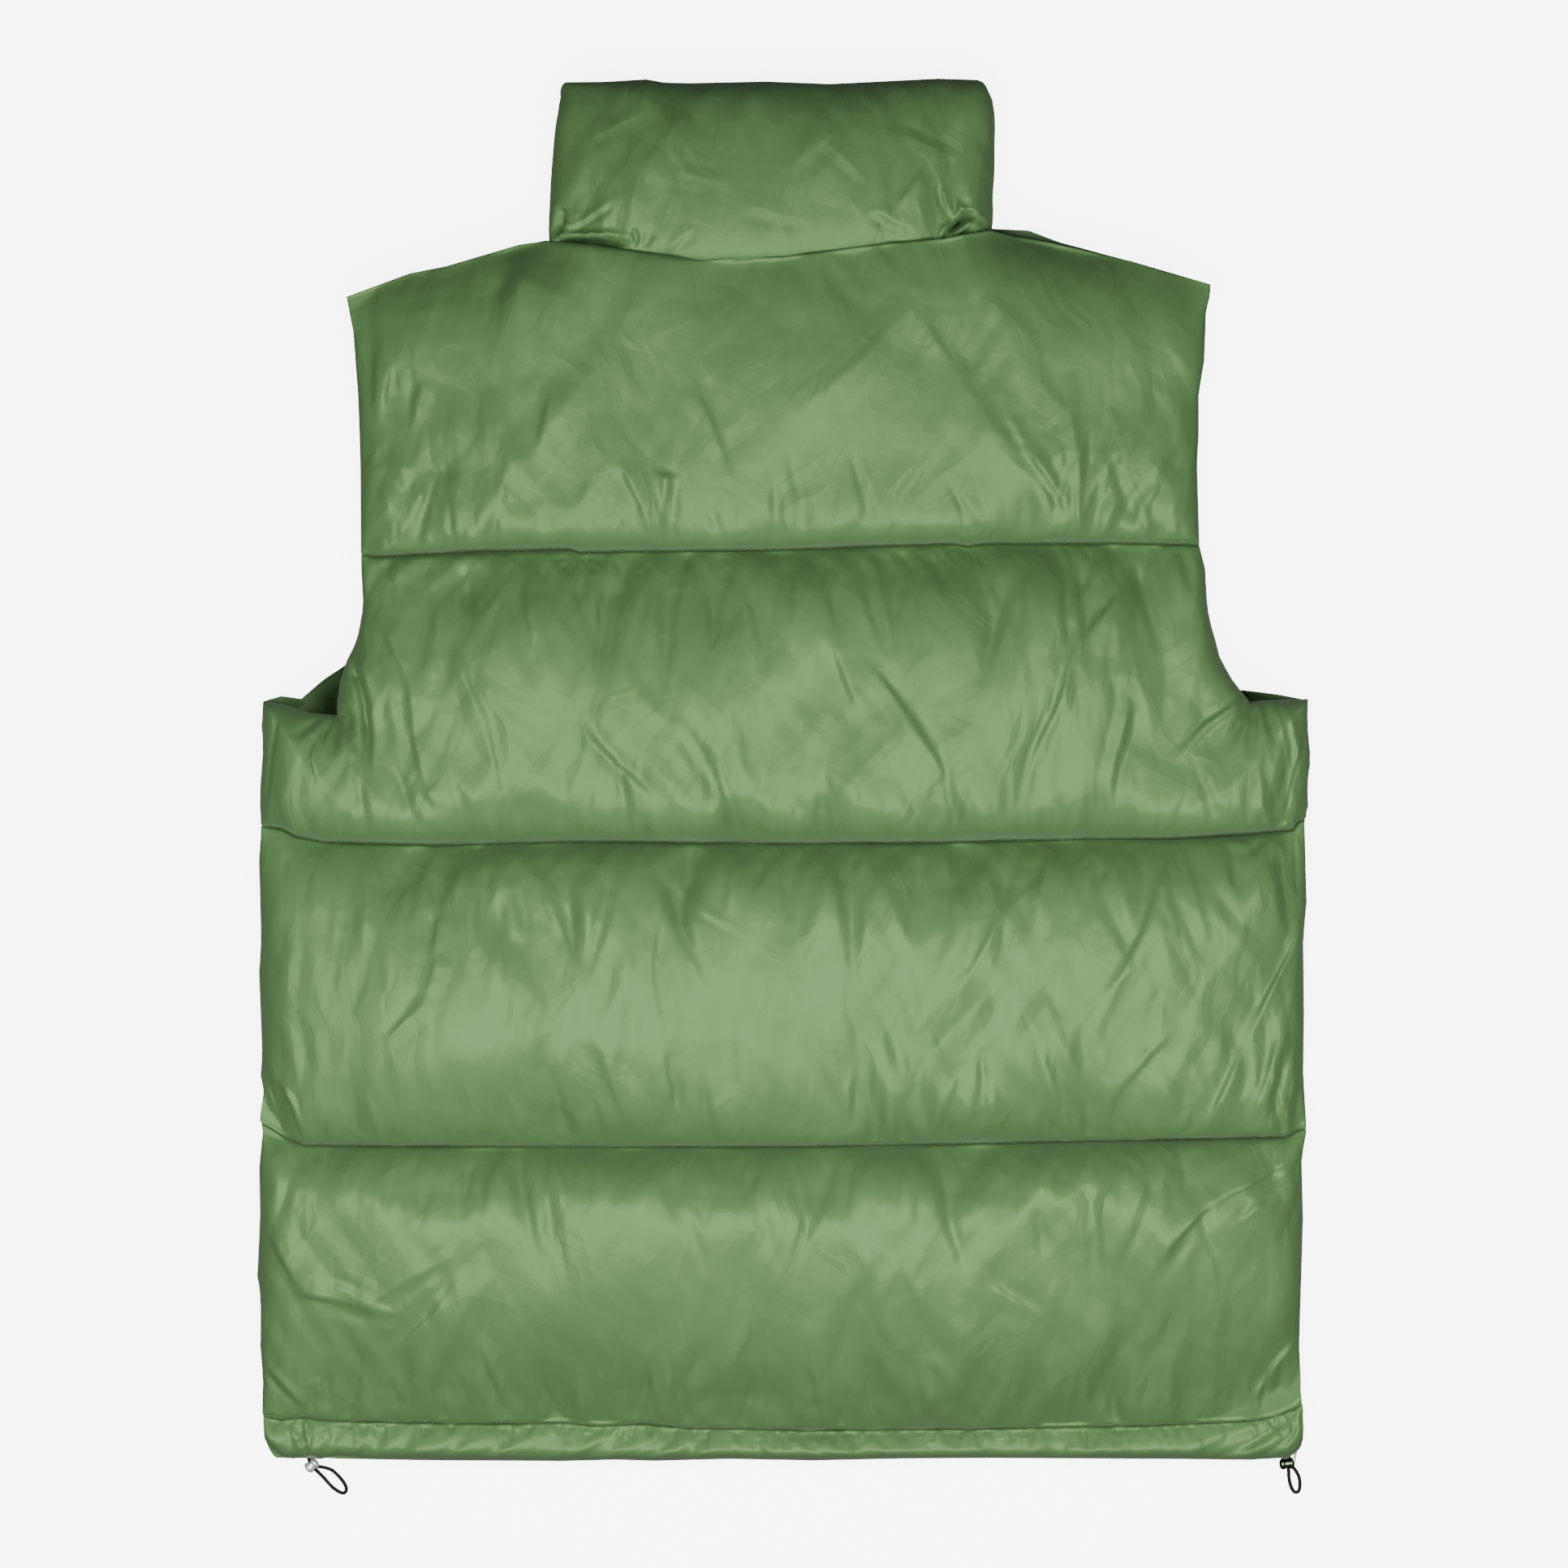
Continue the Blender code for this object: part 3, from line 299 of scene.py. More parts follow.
turned = {"Vector": drifted, "Rotation": (0.0, 0.0, 0.25), "Scale": (1.0, 0.4, 0.3)}
stretched = node(tree, "Mapping", "Vector", turned)
facet_inputs = {"Vector": stretched, "Scale": 52.0}
facet = node(tree, "TexVoronoi", "Distance", facet_inputs, distance="MANHATTAN")
weave = node(tree, "TexNoise", "Fac", {"Vector": place, "Scale": 1400.0})
normal = None
for layer in ((facet, 1.0, 0.001), (crinkle, 0.35, 0.0009), (weave, 0.12, 0.0002)):
    normal = bump(tree, *layer, normal)
tree.links.new(normal, shader.inputs["Normal"])

# ---- Back ------------------------------------------------------------------------------------
# Four wide baffles of nylon over filling, sewn through along three seams. Rows run along the
# seams and columns from hem to neck; the cloth is cut longer than its seams and settled.
LIE = ((-482, -12.1), (-235, 40), (235, 40), (482, 13.1))  # Y, height where back and fronts meet
NECK_AND_SHOULDERS = (
    (-240, 260.5), (-205, 273.5), (-185, 277.5), (-145, 289.5), (-130, 291.5), (-86, 284.8),
    (-45, 279.5), (0, 281), (60, 288.5), (90, 291), (116, 296.5), (150, 290.5), (195, 280.5),
    (240, 267.5),
)
YOKE_SEAM = (
    (-240, 118.2), (-230, 117.2), (-171, 120), (-122, 121.3), (-115, 119.5), (-94, 120),
    (0, 120.9), (56, 123.1), (98, 124.3), (106, 122.9), (118, 124.3), (193, 124.5), (240, 123.7),
)
CHEST_SEAM = (
    (-290, -30.7), (-276, -32.3), (-267, -36.4), (-248, -39.4), (-224, -40.3), (-188, -41.2),
    (-119, -39.4), (0, -40.3), (75, -39.9), (153, -37.7), (197, -37.7), (234, -35.5), (262, -33.7),
    (279, -32.7), (284, -28.4), (290, -27),
)
WAIST_SEAM = (
    (-290, -194.1), (-275, -201.6), (-262, -205.9), (-211, -206.5), (0, -206.9), (95, -205.1),
    (193, -203), (252, -201.6), (271, -201.6), (281, -198), (290, -196.7),
)
HEM_SEAM = (
    (-290, -357.4), (-279, -359.5), (-270, -358.6), (-263, -358.1), (-254, -359.5), (-240, -360.4),
    (-155, -361.8), (-119, -361.2), (-101, -363), (-77, -361.8), (-53, -364.1), (16, -365.4),
    (100, -364.6), (178, -363.2), (238, -360.4), (260, -358.1), (281, -354), (290, -350.4),
)
UNDERARM = (
    (-290, 38), (-277.9, 36.7), (-259.3, 31.8), (-248.3, 30.9), (-240, 30.5), (-180, 38),
    (180, 38), (240, 37.6), (251, 38.5), (290, 39.4),
)
# Y, left X, right X, as in every table of a side
ARMHOLE = (
    (30.5, -245, 258), (37.6, -244.6, 256.1), (48.7, -243.1, 247.2), (61, -239.2, 240.1),
    (71, -234.2, 237.4), (84, -231.5, 233.8), (91, -230.6, 232.8), (111, -231.6, 231.6),
    (123, -231.8, 228.5), (168, -232.1, 227.2), (185, -232.6, 228.1), (206, -233.4, 228.1),
    (225, -234.9, 231.2), (241, -236.1, 231.9), (251, -238.2, 232.2), (263, -240.5, 234.8),
)
SIDE = (
    (-375, -287.1, 288.1), (-369, -287.1, 288), (-353, -288.1, 287.7), (-344, -287.8, 286.2),
    (-337, -287.4, 286.1), (-318, -288.5, 284.8), (-291, -287.9, 285.1), (-277, -289.4, 285.3),
    (-245, -287.5, 285.7), (-219, -287.7, 284.8), (-213, -287.2, 284.7), (-198, -285.6, 287.2),
    (-190, -287.2, 286.9), (-176, -285.1, 286), (-167, -286.8, 285.5), (-156, -286, 285.6),
    (-134, -286.8, 285.9), (-112, -287.7, 285.7), (-93, -286.6, 285.5), (-72, -287.1, 287.3),
    (-49, -287.7, 286.7), (-37, -286.8, 286.4), (-29, -286.6, 286), (-19, -287.2, 288.1),
    (-8, -287, 287.8), (4, -286.1, 289.1), (11, -285.5, 289.1), (25, -286.2, 287.8),
    (38, -285.5, 288),
)
# The long folds: start X Y, end X Y, half width at each end, depth, and its ridge's side
DARTS = (
    (77.3, 266, -10.7, 175.8, 26, 18, 1.7, 1),
    (68.5, 255.1, 125.1, 170.9, 17, 11, 1.7, -1), (121.2, 192.4, 131, 170.9, 8.5, 5.7, 2.2, 1),
    (127.1, 176.8, 155.4, 138.7, 10.3, 6.8, 3.3, 1), (153.5, 218.8, 162.3, 127.9, 9.7, 3.2, -3, 0),
    (-221.9, 244.3, -228.7, 184.6, 10.3, 6.8, 2.2, 1),
    (-214, 232.5, -222.8, 193.4, 8.5, 5.7, 2.2, -1),
    (-197.4, 219.8, -207.2, 187.5, 10.3, 6.8, 2.2, 1),
    (-126.1, 211, -139.8, 146.5, 13.7, 9.1, 2.2, 1),
    (-50.8, 211, -24.4, 150.4, 13.7, 9.1, 2.2, -1),
    (-93.8, 164.1, -70.4, 120.1, 13.7, 9.1, 2.8, 1), (-66.5, 159.2, -68.4, 145.5, 8.6, 2.9, -3, 0),
    (-218, 76.1, -201.3, 43.8, 12, 8, 3.3, 1), (-205.2, 53.6, -188.6, -19.7, 12, 8, 3.9, 1),
    (-191.6, -11.9, -184.7, -22.6, 10.3, 6.8, 2.8, 1),
    (-177.9, 68.3, -156.4, 21.4, 12, 8, 3.3, -1), (-159.3, 31.1, -148.6, -18.7, 12, 8, 2.8, -1),
    (-144.6, 104.4, -122.2, 31.1, 17.1, 11.4, 2.8, 1), (-108.5, 103.5, -98.7, 73.2, 12, 8, 2.2, 1),
    (-108.5, 31.1, -66.5, -18.7, 10.3, 6.8, 3.3, -1), (-53.7, 29.2, -25.4, -28.5, 12, 8, 2.2, 1),
    (23.5, 80, 46.9, 15.5, 17.1, 11.4, 2.8, 1), (44, 62.4, 93.8, -14.8, 10.3, 6.8, 3.9, -1),
    (187.7, 104.4, 146.6, 52.6, 20.5, 13.7, 3.3, 1),
    (155.4, 68.3, 125.1, -13.8, 10.3, 6.8, 3.9, 1), (189.6, 39, 176.9, -24.6, 10.3, 6.8, 3.3, -1),
    (-186.7, -74.4, -186.7, -101.8, 12, 8, 3.3, 1), (-185.7, -95.9, -193.5, -125.3, 12, 8, 3.3, 1),
    (-190.6, -119.4, -212.1, -150.7, 12, 8, 2.8, 1),
    (-129, -57.8, -108.5, -121.3, 13.7, 9.1, 2.8, -1),
    (-103.6, -140.9, -80.1, -192.7, 12, 8, 2.8, 1), (-69.4, -87.1, -62.5, -158.5, 12, 8, 2.2, -1),
    (-64.5, -147.7, -52.8, -191.7, 12, 8, 2.8, -1), (-63.5, -64.7, -16.6, -95, 6.8, 4.6, 1.4, 1),
    (139.8, -50, 86, -134, 17.1, 11.4, 2.8, 1), (210.2, -50, 169.1, -147.7, 13.7, 9.1, 3.3, 1),
    (286.4, -85.2, 237.5, -159.5, 13.7, 9.1, 4.5, 1),
    (244.4, -147.7, 220.9, -198.6, 13.7, 9.1, 3.9, 1),
    (218, -136, 167.1, -196.6, 13.7, 9.1, 2.8, -1),
    (265.9, -145.8, 252.2, -187.8, 10.3, 6.8, 2.8, 1),
    (-282.8, -251.6, -262, -294.5, 13.7, 9.1, 3.3, 1),
    (-269.8, -289.5, -211, -299.5, 13.7, 9.1, 3.9, 1),
    (-248, -281.5, -214, -298.5, 8.5, 5.7, 2.2, -1),
    (-230.6, -295.5, -182.2, -268.5, 10.3, 6.8, 2.2, 1),
    (-221.2, -323.6, -176.4, -275.5, 15.4, 10.3, 2.8, -1),
    (286.4, -211.3, 228.7, -234.7, 13.7, 9.1, 3.9, -1),
    (238.5, -227.9, 197.1, -282.5, 13.7, 9.1, 3.9, -1),
    (257.1, -233.7, 249.4, -245.6, 10.3, 6.8, 2.8, 1),
    (281.9, -310.5, 254.2, -355.8, 12, 8, 3.3, 1), (76.7, -317.6, 99.5, -355.8, 13.7, 9.1, 2.2, 1),
    (113.7, -282.5, 146.2, -295.5, 12, 8, 2.2, -1),
    (-286.3, -331.6, -263.1, -355.8, 6, 5, 4.2, 1),
    (-257.8, -335.6, -254.1, -347.7, 10.3, 6.8, 2.8, -1),
)
# Bent folds: any number of points, then half width at each end, depth, and its ridge's side
BENT_DARTS = (
    (-238, 66, -235.8, 52.4, -229.7, 33.6, -225.9, 13.1, -224, -8, 4.2, 4.2, 9.0, 0),
    (-238, 66, -234.5, 50, -228.5, 33, -224.6, 13.1, -222, -8, 12, 9, 4.0, 1),
    (-274.8, 38, -279.7, 13.1, -282.8, -15.9, -284.6, -31, 1.9, 1.9, 2.6, 0),
    (-247, 34, -254, 10, 3, 5, 6.0, 0), (-244.5, 34, -246, 6, 3, 5, 6.0, 0),
    (-243, 34, -234, 8, 3, 5, 6.0, 0), (-249, 32, -268, 18, 3, 5, 5.0, 0),
    (-253, 22, -257, 8, -252, -6, 5, 4, 4.0, 1), (-238, 24, -232, 6, -236, -10, 5, 5, 3.0, -1),
    (255, 40, 240, 10, 3, 6, 6.0, 0), (257, 39, 253, 6, 3, 5.5, 5.0, 0),
    (252, 42, 229, 26, 212, 6, 4, 7, 5.0, 1), (262, 40, 269, 12, 3, 5, 5.0, 0),
    (272, 36, 281, 6, 275, -20, 5, 6, 2.2, 1), (284, 22, 276, -10, 270, -24, 4, 6, 2.6, -1),
    (-303, -168, -291, -180, -281, -194, -273, -210, 19, 15, 15.0, 0),
    (-276, -172, -268, -182, -260, -203, 3.5, 3.5, 4.5, 1),
    (-284, -171, -276, -186, 2.5, 2.5, 3.0, -1),
    (266, -31, 275, -27, 283, -26.5, 3, 2.5, -3.0, 0), (262, -36, 250, -48, 3, 6, 2.6, 0),
)
PINCHES = ((-113.6, 119.4, 6), (104.6, 123.2, 6))  # where a seam is drawn together
WALL = 4.0  # the padded wall at its edges and seams
SEAM_GAP, LAYER_GAP = 0.3, 0.15  # between pieces, and from each piece to the level they meet at
SEAM_CALM, EDGE_CALM = 7, 14  # how far the folds fade out at seams and free edges
BODY_PLACE, SIDE_PLACE = 240, 290  # column places of the armhole's edge and of the side
# Each baffle from the hem up: height of its crest as a share, powers below and above, loft
CRESTS = ((0.62, 2.4, 3.6, 41), (0.50, 3.6, 3.6, 41), (0.38, 6.0, 2.8, 41), (0.34, 8.0, 4.3, 26))
SIDE_ROLL, SIDE_SLOPE = 20.0, 125.0  # how far in from the side the cloth climbs, fast and slowly
YOKE_END = 0.75  # share of its loft that the yoke keeps where the collar overhangs it


def read(table, at, column=1):
    """A table's value at a place in its first column, straight between rows."""
    rows = np.array(table, dtype=float)
    return np.interp(at, rows[:, 0], rows[:, column])


def lie(at):
    """The height where back and fronts meet: LIE's mean over 45 mm to each side."""
    return sum(read(LIE, at + off) for off in range(-45, 46, 15)) / 7


def stretches(*parts):
    """Even places over stretches that follow each other, each given by its ends and its count."""
    return np.concatenate(
        [np.linspace(*parts[0])] + [np.linspace(*part)[1:] for part in parts[1:]]
    )


def lattice(columns, bands, armhole, centre=0.0):
    """Points in rows between seams. Column places up to BODY_PLACE are spread between the middle
    and the armhole's edge, and the rest between it and the side."""
    columns = np.array(columns, dtype=float)
    rows = [(low, high, t) for low, high, n in bands for t in np.arange(n) / n]
    y = [low(columns) * (1 - t) + high(columns) * t for low, high, t in rows]
    y = np.vstack(y + [bands[-1][1](columns)])
    x = np.zeros(y.shape)
    for sign, column in ((-1, 1), (1, 2)):
        own = columns * sign > 0
        place = np.abs(columns[own])
        hole = np.abs(read(armhole, y[:, own], column))
        edge = np.abs(read(SIDE, y[:, own], column))
        inward = np.minimum(place, BODY_PLACE) - centre
        body = centre + inward * (hole - centre) / (BODY_PLACE - centre)
        outward = np.clip((place - BODY_PLACE) / (SIDE_PLACE - BODY_PLACE), 0, 1)
        x[:, own] = sign * (body + (edge - hole) * outward)
    return x, y


def free_edge(x, y, present, columns, sign):
    """The chain of points up one side, round the underarm and up the armhole."""
    order = [c for c in np.argsort(-sign * columns) if columns[c] * sign > 0]
    chain = []
    for r in range(len(y)):
        here = [c for c in order if present[r, c]]
        above = [c for c in order if r + 1 < len(y) and present[r + 1, c]] or here
        chain += [(x[r, c], y[r, c]) for c in here[: here.index(above[0]) + 1]]
    return np.array(chain)


def distance_to(x, y, chain):
    """Distance of each point from a chain of straight stretches, one stretch at a time."""
    best = np.full(x.shape, 1e9)
    for (x0, y0), (x1, y1) in zip(chain[:-1], chain[1:]):
        dx, dy = x1 - x0, y1 - y0
        t = np.clip(((x - x0) * dx + (y - y0) * dy) / max(dx * dx + dy * dy, 1e-9), 0, 1)
        best = np.minimum(best, (x - x0 - t * dx) ** 2 + (y - y0 - t * dy) ** 2)
    return np.sqrt(best)


def arc(share, width, loft):
    """Height of a circular arc of this width and loft, at a share of its width."""
    radius = (width ** 2 / 4 + loft ** 2) / (2 * loft)
    return np.sqrt(radius ** 2 - ((np.clip(share, 0, 1) - 0.5) * width) ** 2) - (radius - loft)


def rounded(distance, reach):
    """0 at an edge and 1 from a distance on, as a quarter of a circle."""
    return np.sqrt(1 - (1 - np.clip(distance / reach, 0, 1)) ** 2)


# Places across a leaning fold and its heights there, where it is soft and where it is steep
SOFT_FOLD = ((-1, -0.15, 0.4, 0.9), (0, 0.6, -0.4, 0))
STEEP_FOLD = ((-1, -0.1, 0.08, 0.35, 0.9), (0, 0.75, -0.5, -0.3, 0))


def darts(x, y, table):
    """Relief of folded cloth in flat facets along bent lines. At a share t along a line its half
    width is w = w0 (1 - t) + w1 t, and u is the distance from it, with its side as the sign. A
    dart of side 0 drops across it as a V, depth (1 - |u| / w); one of side 1 or -1 climbs slowly
    and falls again, steeply here and there, as a fold that leans over. All fade to nothing at
    their ends."""
    relief = np.zeros(x.size)
    flat_x, flat_y = x.ravel(), y.ravel()
    for *line, w0, w1, depth, side in table:
        line = np.array(line, dtype=float).reshape(-1, 2)
        reach = 1.1 * max(w0, w1)
        (x_low, y_low), (x_high, y_high) = line.min(axis=0) - reach, line.max(axis=0) + reach
        near = (flat_x > x_low) & (flat_x < x_high) & (flat_y > y_low) & (flat_y < y_high)
        near = np.flatnonzero(near)
        along = lengths(line)
        best, t, away = np.full(len(near), 1e9), np.zeros(len(near)), np.zeros(len(near))
        for (x0, y0), (x1, y1), start in zip(line[:-1], line[1:], along):
            dx, dy = x1 - x0, y1 - y0
            long = math.hypot(dx, dy)
            from_x, from_y = flat_x[near] - x0, flat_y[near] - y0
            share = np.clip((from_x * dx + from_y * dy) / long ** 2, 0, 1)
            gap = np.hypot(from_x - share * dx, from_y - share * dy)
            signed = np.where(from_x * dy > from_y * dx, gap, -gap)
            closer = gap < best
            best = np.where(closer, gap, best)
            away = np.where(closer, signed, away)
            t = np.where(closer, (start + share * long) / along[-1], t)
        away /= w0 + (w1 - w0) * t
        fade = np.clip(np.minimum(t / 0.2, (1 - t) / 0.42), 0, 1)
        if side:
            soft, steep = (np.interp(away * side, *form) for form in (SOFT_FOLD, STEEP_FOLD))
            here = 0.6 + 0.4 * np.sin(t * along[-1] / 9 + line[0, 0])
            shape = soft + (steep - soft) * (fade * min(depth / 3.5, 1) * here)
        else:
            shape = -np.maximum(1 - np.abs(away), 0)
        relief[near] += depth * fade * shape
    return relief.reshape(x.shape)


NET = 97  # corners each way after which the net of facets repeats


def facets(x, y, long, wide, lean, seed):
    """Crumpled thin cloth: heights from -1 to 1 drawn for the corners of a net of triangles,
    long by wide and turned by lean, with flat facets between the corners."""
    c, s = math.cos(lean), math.sin(lean)
    v = (y * c - x * s) / long
    u = (x * c + y * s) / wide - v / 2
    drawn = np.random.RandomState(seed).uniform(-1, 1, (NET, NET))
    i, j = np.floor(u).astype(int), np.floor(v).astype(int)
    f, g = u - i, v - j
    low, high = drawn[i % NET, j % NET], drawn[(i + 1) % NET, (j + 1) % NET]
    right, over = drawn[(i + 1) % NET, j % NET], drawn[i % NET, (j + 1) % NET]
    near = low + f * (right - low) + g * (over - low)
    far = high + (1 - f) * (over - high) + (1 - g) * (right - high)
    return np.where(f + g < 1, near, far)


def crumple(x, y, seed):
    """Facets of two sizes in three directions, each where its own slow noise is high."""
    total = np.zeros(x.shape)
    for k, lean in enumerate((-0.5, 0.04, 0.55)):
        here = np.clip(0.45 + 0.55 * cloudy(x.shape, 30, 30, seed + 10 * k), 0, 1)
        total += here * facets(x, y, 44, 17, lean, seed + 10 * k + 1)
        total += here * 0.5 * facets(x, y, 23, 8.5, -0.8 * lean, seed + 10 * k + 2)
    return total


def hung_darts(edge, way, low, high, pitch, begin, reach, wide, depth, seed):
    """Seeded darts about every pitch, up to begin from a seam: they lean to either side, are
    widest at their near ends and pointed at their tips, and some are folds that lean over."""
    chance = np.random.RandomState(seed)
    made = []
    at = low
    while at < high:
        at += pitch * chance.uniform(0.3, 1.7)
        size = chance.uniform(0.35, 1.0) ** 1.3
        x0, y0 = at, edge(at) + way * begin * chance.uniform(-0.1, 1) ** 2
        x1 = x0 + reach * size * chance.uniform(-0.45, 0.45)
        y1 = y0 + way * reach * size
        side = 0 if chance.uniform() < 0.6 else chance.choice((-1, 1))
        deep = depth * (0.4 + 0.6 * size)
        if side:
            tip, across, deep = 0.6, wide * 1.3, deep * 0.55
        else:
            tip, across = chance.uniform(0.2, 0.5), wide * (0.5 + 0.5 * size)
        made.append((x0, y0, x1, y1, across, across * tip, deep, side))
    return made


def plump(share, crest, power_below, power_above):
    """Height of a filled baffle from 0 to 1: 1 - d ** power on each side of its crest, where d
    is the distance from the crest as a share of that side."""
    below = np.clip(1 - share / crest, 0, 1)
    above = np.clip((share - crest) / (1 - crest), 0, 1)
    return np.where(share < crest, 1 - below ** power_below, 1 - above ** power_above)


def climbing(distance, reach):
    """0 at an edge and 1 from a distance on: 1 - (1 - distance / reach) ** 2.2."""
    return 1 - (1 - np.clip(distance / reach, 0, 1)) ** 2.2


def rolled(distance):
    """A side's climb from 0 to 1: half of it in a short roll, the rest slowly."""
    return 0.45 * rounded(distance, SIDE_ROLL) + 0.55 * climbing(distance, SIDE_SLOPE)


def swelling(share, crest):
    """0 at a seam, 1 at its crest and soon fading: s exp(1 - s), where s is share / crest."""
    return share / crest * np.exp(1 - share / crest)


def cloudy(shape, across, along, seed):
    """Smooth uneven noise of about unit size: seeded white noise, blurred by a Gaussian of
    these widths in columns and rows."""
    field = np.random.RandomState(seed).normal(size=shape)
    for axis, width in ((1, across), (0, along)):
        reach = int(3 * width) + 1
        kernel = np.exp(-0.5 * (np.arange(-reach, reach + 1) / width) ** 2)
        padded = np.pad(field, [(reach, reach) if a == axis else (0, 0) for a in (0, 1)], "reflect")
        field = np.apply_along_axis(lambda line: np.convolve(line, kernel, "valid"), axis, padded)
    return field / field.std()


SETTLE_DRAG = 0.86  # share of its speed that a point keeps from step to step
SETTLE_LIFT = 0.08
SMOOTHING, SHARPEST_SMOOTHING = 0.35, 0.3  # of slight bends, and of bends sharper than cloth's


def settle(points, cut, present, held, grow_across, grow_along, steps, fill, low):
    """The cloth finds its folds. Neighbouring points are drawn to the distances of the cut
    cloth, which is larger than its place, in turns of even and odd pairs; the filling pushes
    points below its own height up, and held points stay. Slight bends are smoothed away and
    sharp ones kept, which leaves flat facets between crisp folds, as thin nylon does."""
    p = points.astype(np.float64)
    before = p
    weight = (present & ~held).astype(float)
    rows, cols = present.shape

    def moved(part, dr, dc):
        return tuple(slice(s.start + d, s.stop + d, s.step) for s, d in zip(part, (dr, dc)))

    springs = []
    both = (grow_across + grow_along) / 2
    for dr, dc, grow in ((0, 1, grow_across), (1, 0, grow_along), (1, 1, both), (1, -1, both)):
        for first in (0, 1):
            across = slice(max(-dc, 0), cols - max(dc, 0), 1) if dr else slice(first, cols - 1, 2)
            a = (slice(first, rows - 1, 2) if dr else slice(0, rows, 1), across)
            b = moved(a, dr, dc)
            rest = np.linalg.norm(cut[b] - cut[a], axis=-1) * (1 + grow[a])
            use = (present[a] & present[b]) / np.maximum(weight[a] + weight[b], 1e-9)
            springs.append((a, b, rest, (weight[a] * use)[..., None], (weight[b] * use)[..., None]))
    spacing = float(np.median(springs[0][2]))
    crisp = 0.16 * spacing
    lines = []
    inside = (slice(1, rows - 1, 1), slice(1, cols - 1, 1))
    for dr, dc in ((0, 1), (1, 0), (1, 1), (1, -1)):
        a, b = moved(inside, -dr, -dc), moved(inside, dr, dc)
        bow = (cut[a] + cut[b]) / 2 - cut[inside]
        free = weight[inside] * present[a] * present[b]
        lines.append((a, b, bow, free[..., None] * (1.0 if dr * dc == 0 else 0.5)))
    for step in range(steps):
        speed = (p - before) * SETTLE_DRAG
        before = p.copy()
        p += speed * weight[..., None]
        p[..., 2] += weight * SETTLE_LIFT * np.clip((fill - p[..., 2]) / 3.0, 0, 1)
        for a, b, rest, wa, wb in springs * 2:
            d = p[b] - p[a]
            far = np.sqrt((d * d).sum(-1)) + 1e-9
            d *= ((far - rest) / far)[..., None]
            p[a] += d * wa
            p[b] -= d * wb
        for a, b, bow, free in lines:
            bend = (p[a] + p[b]) / 2 - p[inside] - bow
            size = (bend * bend).sum(-1)[..., None]
            pull = SMOOTHING * np.exp(-size / crisp ** 2)
            pull += SHARPEST_SMOOTHING * (size > (0.45 * spacing) ** 2)
            p[inside] += free * bend * pull
        p[..., 2] = np.maximum(p[..., 2], low)
    return p


def doubled(field):
    """Twice as many points each way: a new one between b and c, in a row a b c d, is
    (9 (b + c) - a - d) / 16."""
    for axis in (0, 1):
        f = np.moveaxis(field, axis, 0)
        ghost = np.concatenate([2 * f[:1] - f[1:2], f, 2 * f[-1:] - f[-2:-1]])
        middle = (9 * (ghost[1:-2] + ghost[2:-1]) - ghost[:-3] - ghost[3:]) / 16
        out = np.empty((2 * len(f) - 1,) + f.shape[1:])
        out[::2] = f
        out[1::2] = middle
        field = np.moveaxis(out, 0, axis)
    return field


UNDER_STEP = 8


def panel_mesh(name, outer, inner, present, upward, stands_for, crisp_row=None, lining=None):
    """A closed nylon wall: the shaped outer points, and an inner face with the same points if
    it has a lining of its own, or else points at the rim and in every UNDER_STEP-th column, one
    long face for each row. Sides close the rim, and under a lining a second row of them stands
    one cell further in. The rim and one row of points may be sharp edges."""
    cells = present[:-1, :-1] & present[:-1, 1:] & present[1:, :-1] & present[1:, 1:]
    grid = np.arange(present.size).reshape(present.shape)
    quads = np.stack([grid[:-1, :-1], grid[:-1, 1:], grid[1:, 1:], grid[1:, :-1]], -1)[cells]
    around = np.bincount(quads.ravel(), minlength=present.size)
    used, rim = around > 0, (around > 0) & (around < 4)
    sparse = grid.ravel() % present.shape[1] % UNDER_STEP == 0
    inside = used if lining else rim | (used & sparse)
    top = np.cumsum(used) - 1
    under = np.cumsum(inside) - 1 + used.sum()
    at_rim = quads[rim[quads].any(axis=1)]
    start, end = at_rim.ravel(), np.roll(at_rim, -1, axis=1).ravel()
    single = ~np.isin(start * present.size + end, end * present.size + start)
    single &= inside[start] & inside[end]
    sides = np.stack([top[end], top[start], under[start], under[end]], -1)[single]
    faces = top[quads].tolist() + sides.tolist()
    if lining:
        faces += under[quads[:, ::-1]].tolist()
    for r in range(0 if lining else len(cells)):
        across = np.flatnonzero(cells[r])
        if len(across):
            ends = grid[r:r + 2, across[0]:across[-1] + 2]
            first, second = (under[line[inside[line]]].tolist() for line in ends)
            faces.append((first + second[::-1])[::-1])
    if not upward:
        faces = [face[::-1] for face in faces]
    points = np.vstack([outer.reshape(-1, 3)[used], inner.reshape(-1, 3)[inside]])
    made = mesh_object(name, points, faces, nylon, "nylon", stands_for)
    if lining:
        made.data.materials.append(lining)
        kinds = np.zeros(len(faces), dtype=np.int32)
        kinds[-len(quads):] = 1
        made.data.polygons.foreach_set("material_index", kinds)
    crisp = np.zeros(len(points), dtype=bool)
    crisp[under[rim]] = True
    if crisp_row is not None:
        crisp[top[grid[crisp_row][used[grid[crisp_row]]]]] = True
    ends = np.empty(2 * len(made.data.edges), dtype=np.int32)
    made.data.edges.foreach_get("vertices", ends)
    made.data.edges.foreach_set("use_edge_sharp", crisp[ends.reshape(-1, 2)].all(axis=1))


def seam(table, shift=0.0):
    """A seam's Y as a function of the column place, moved up by a shift."""
    return lambda place: read(table, place) + shift


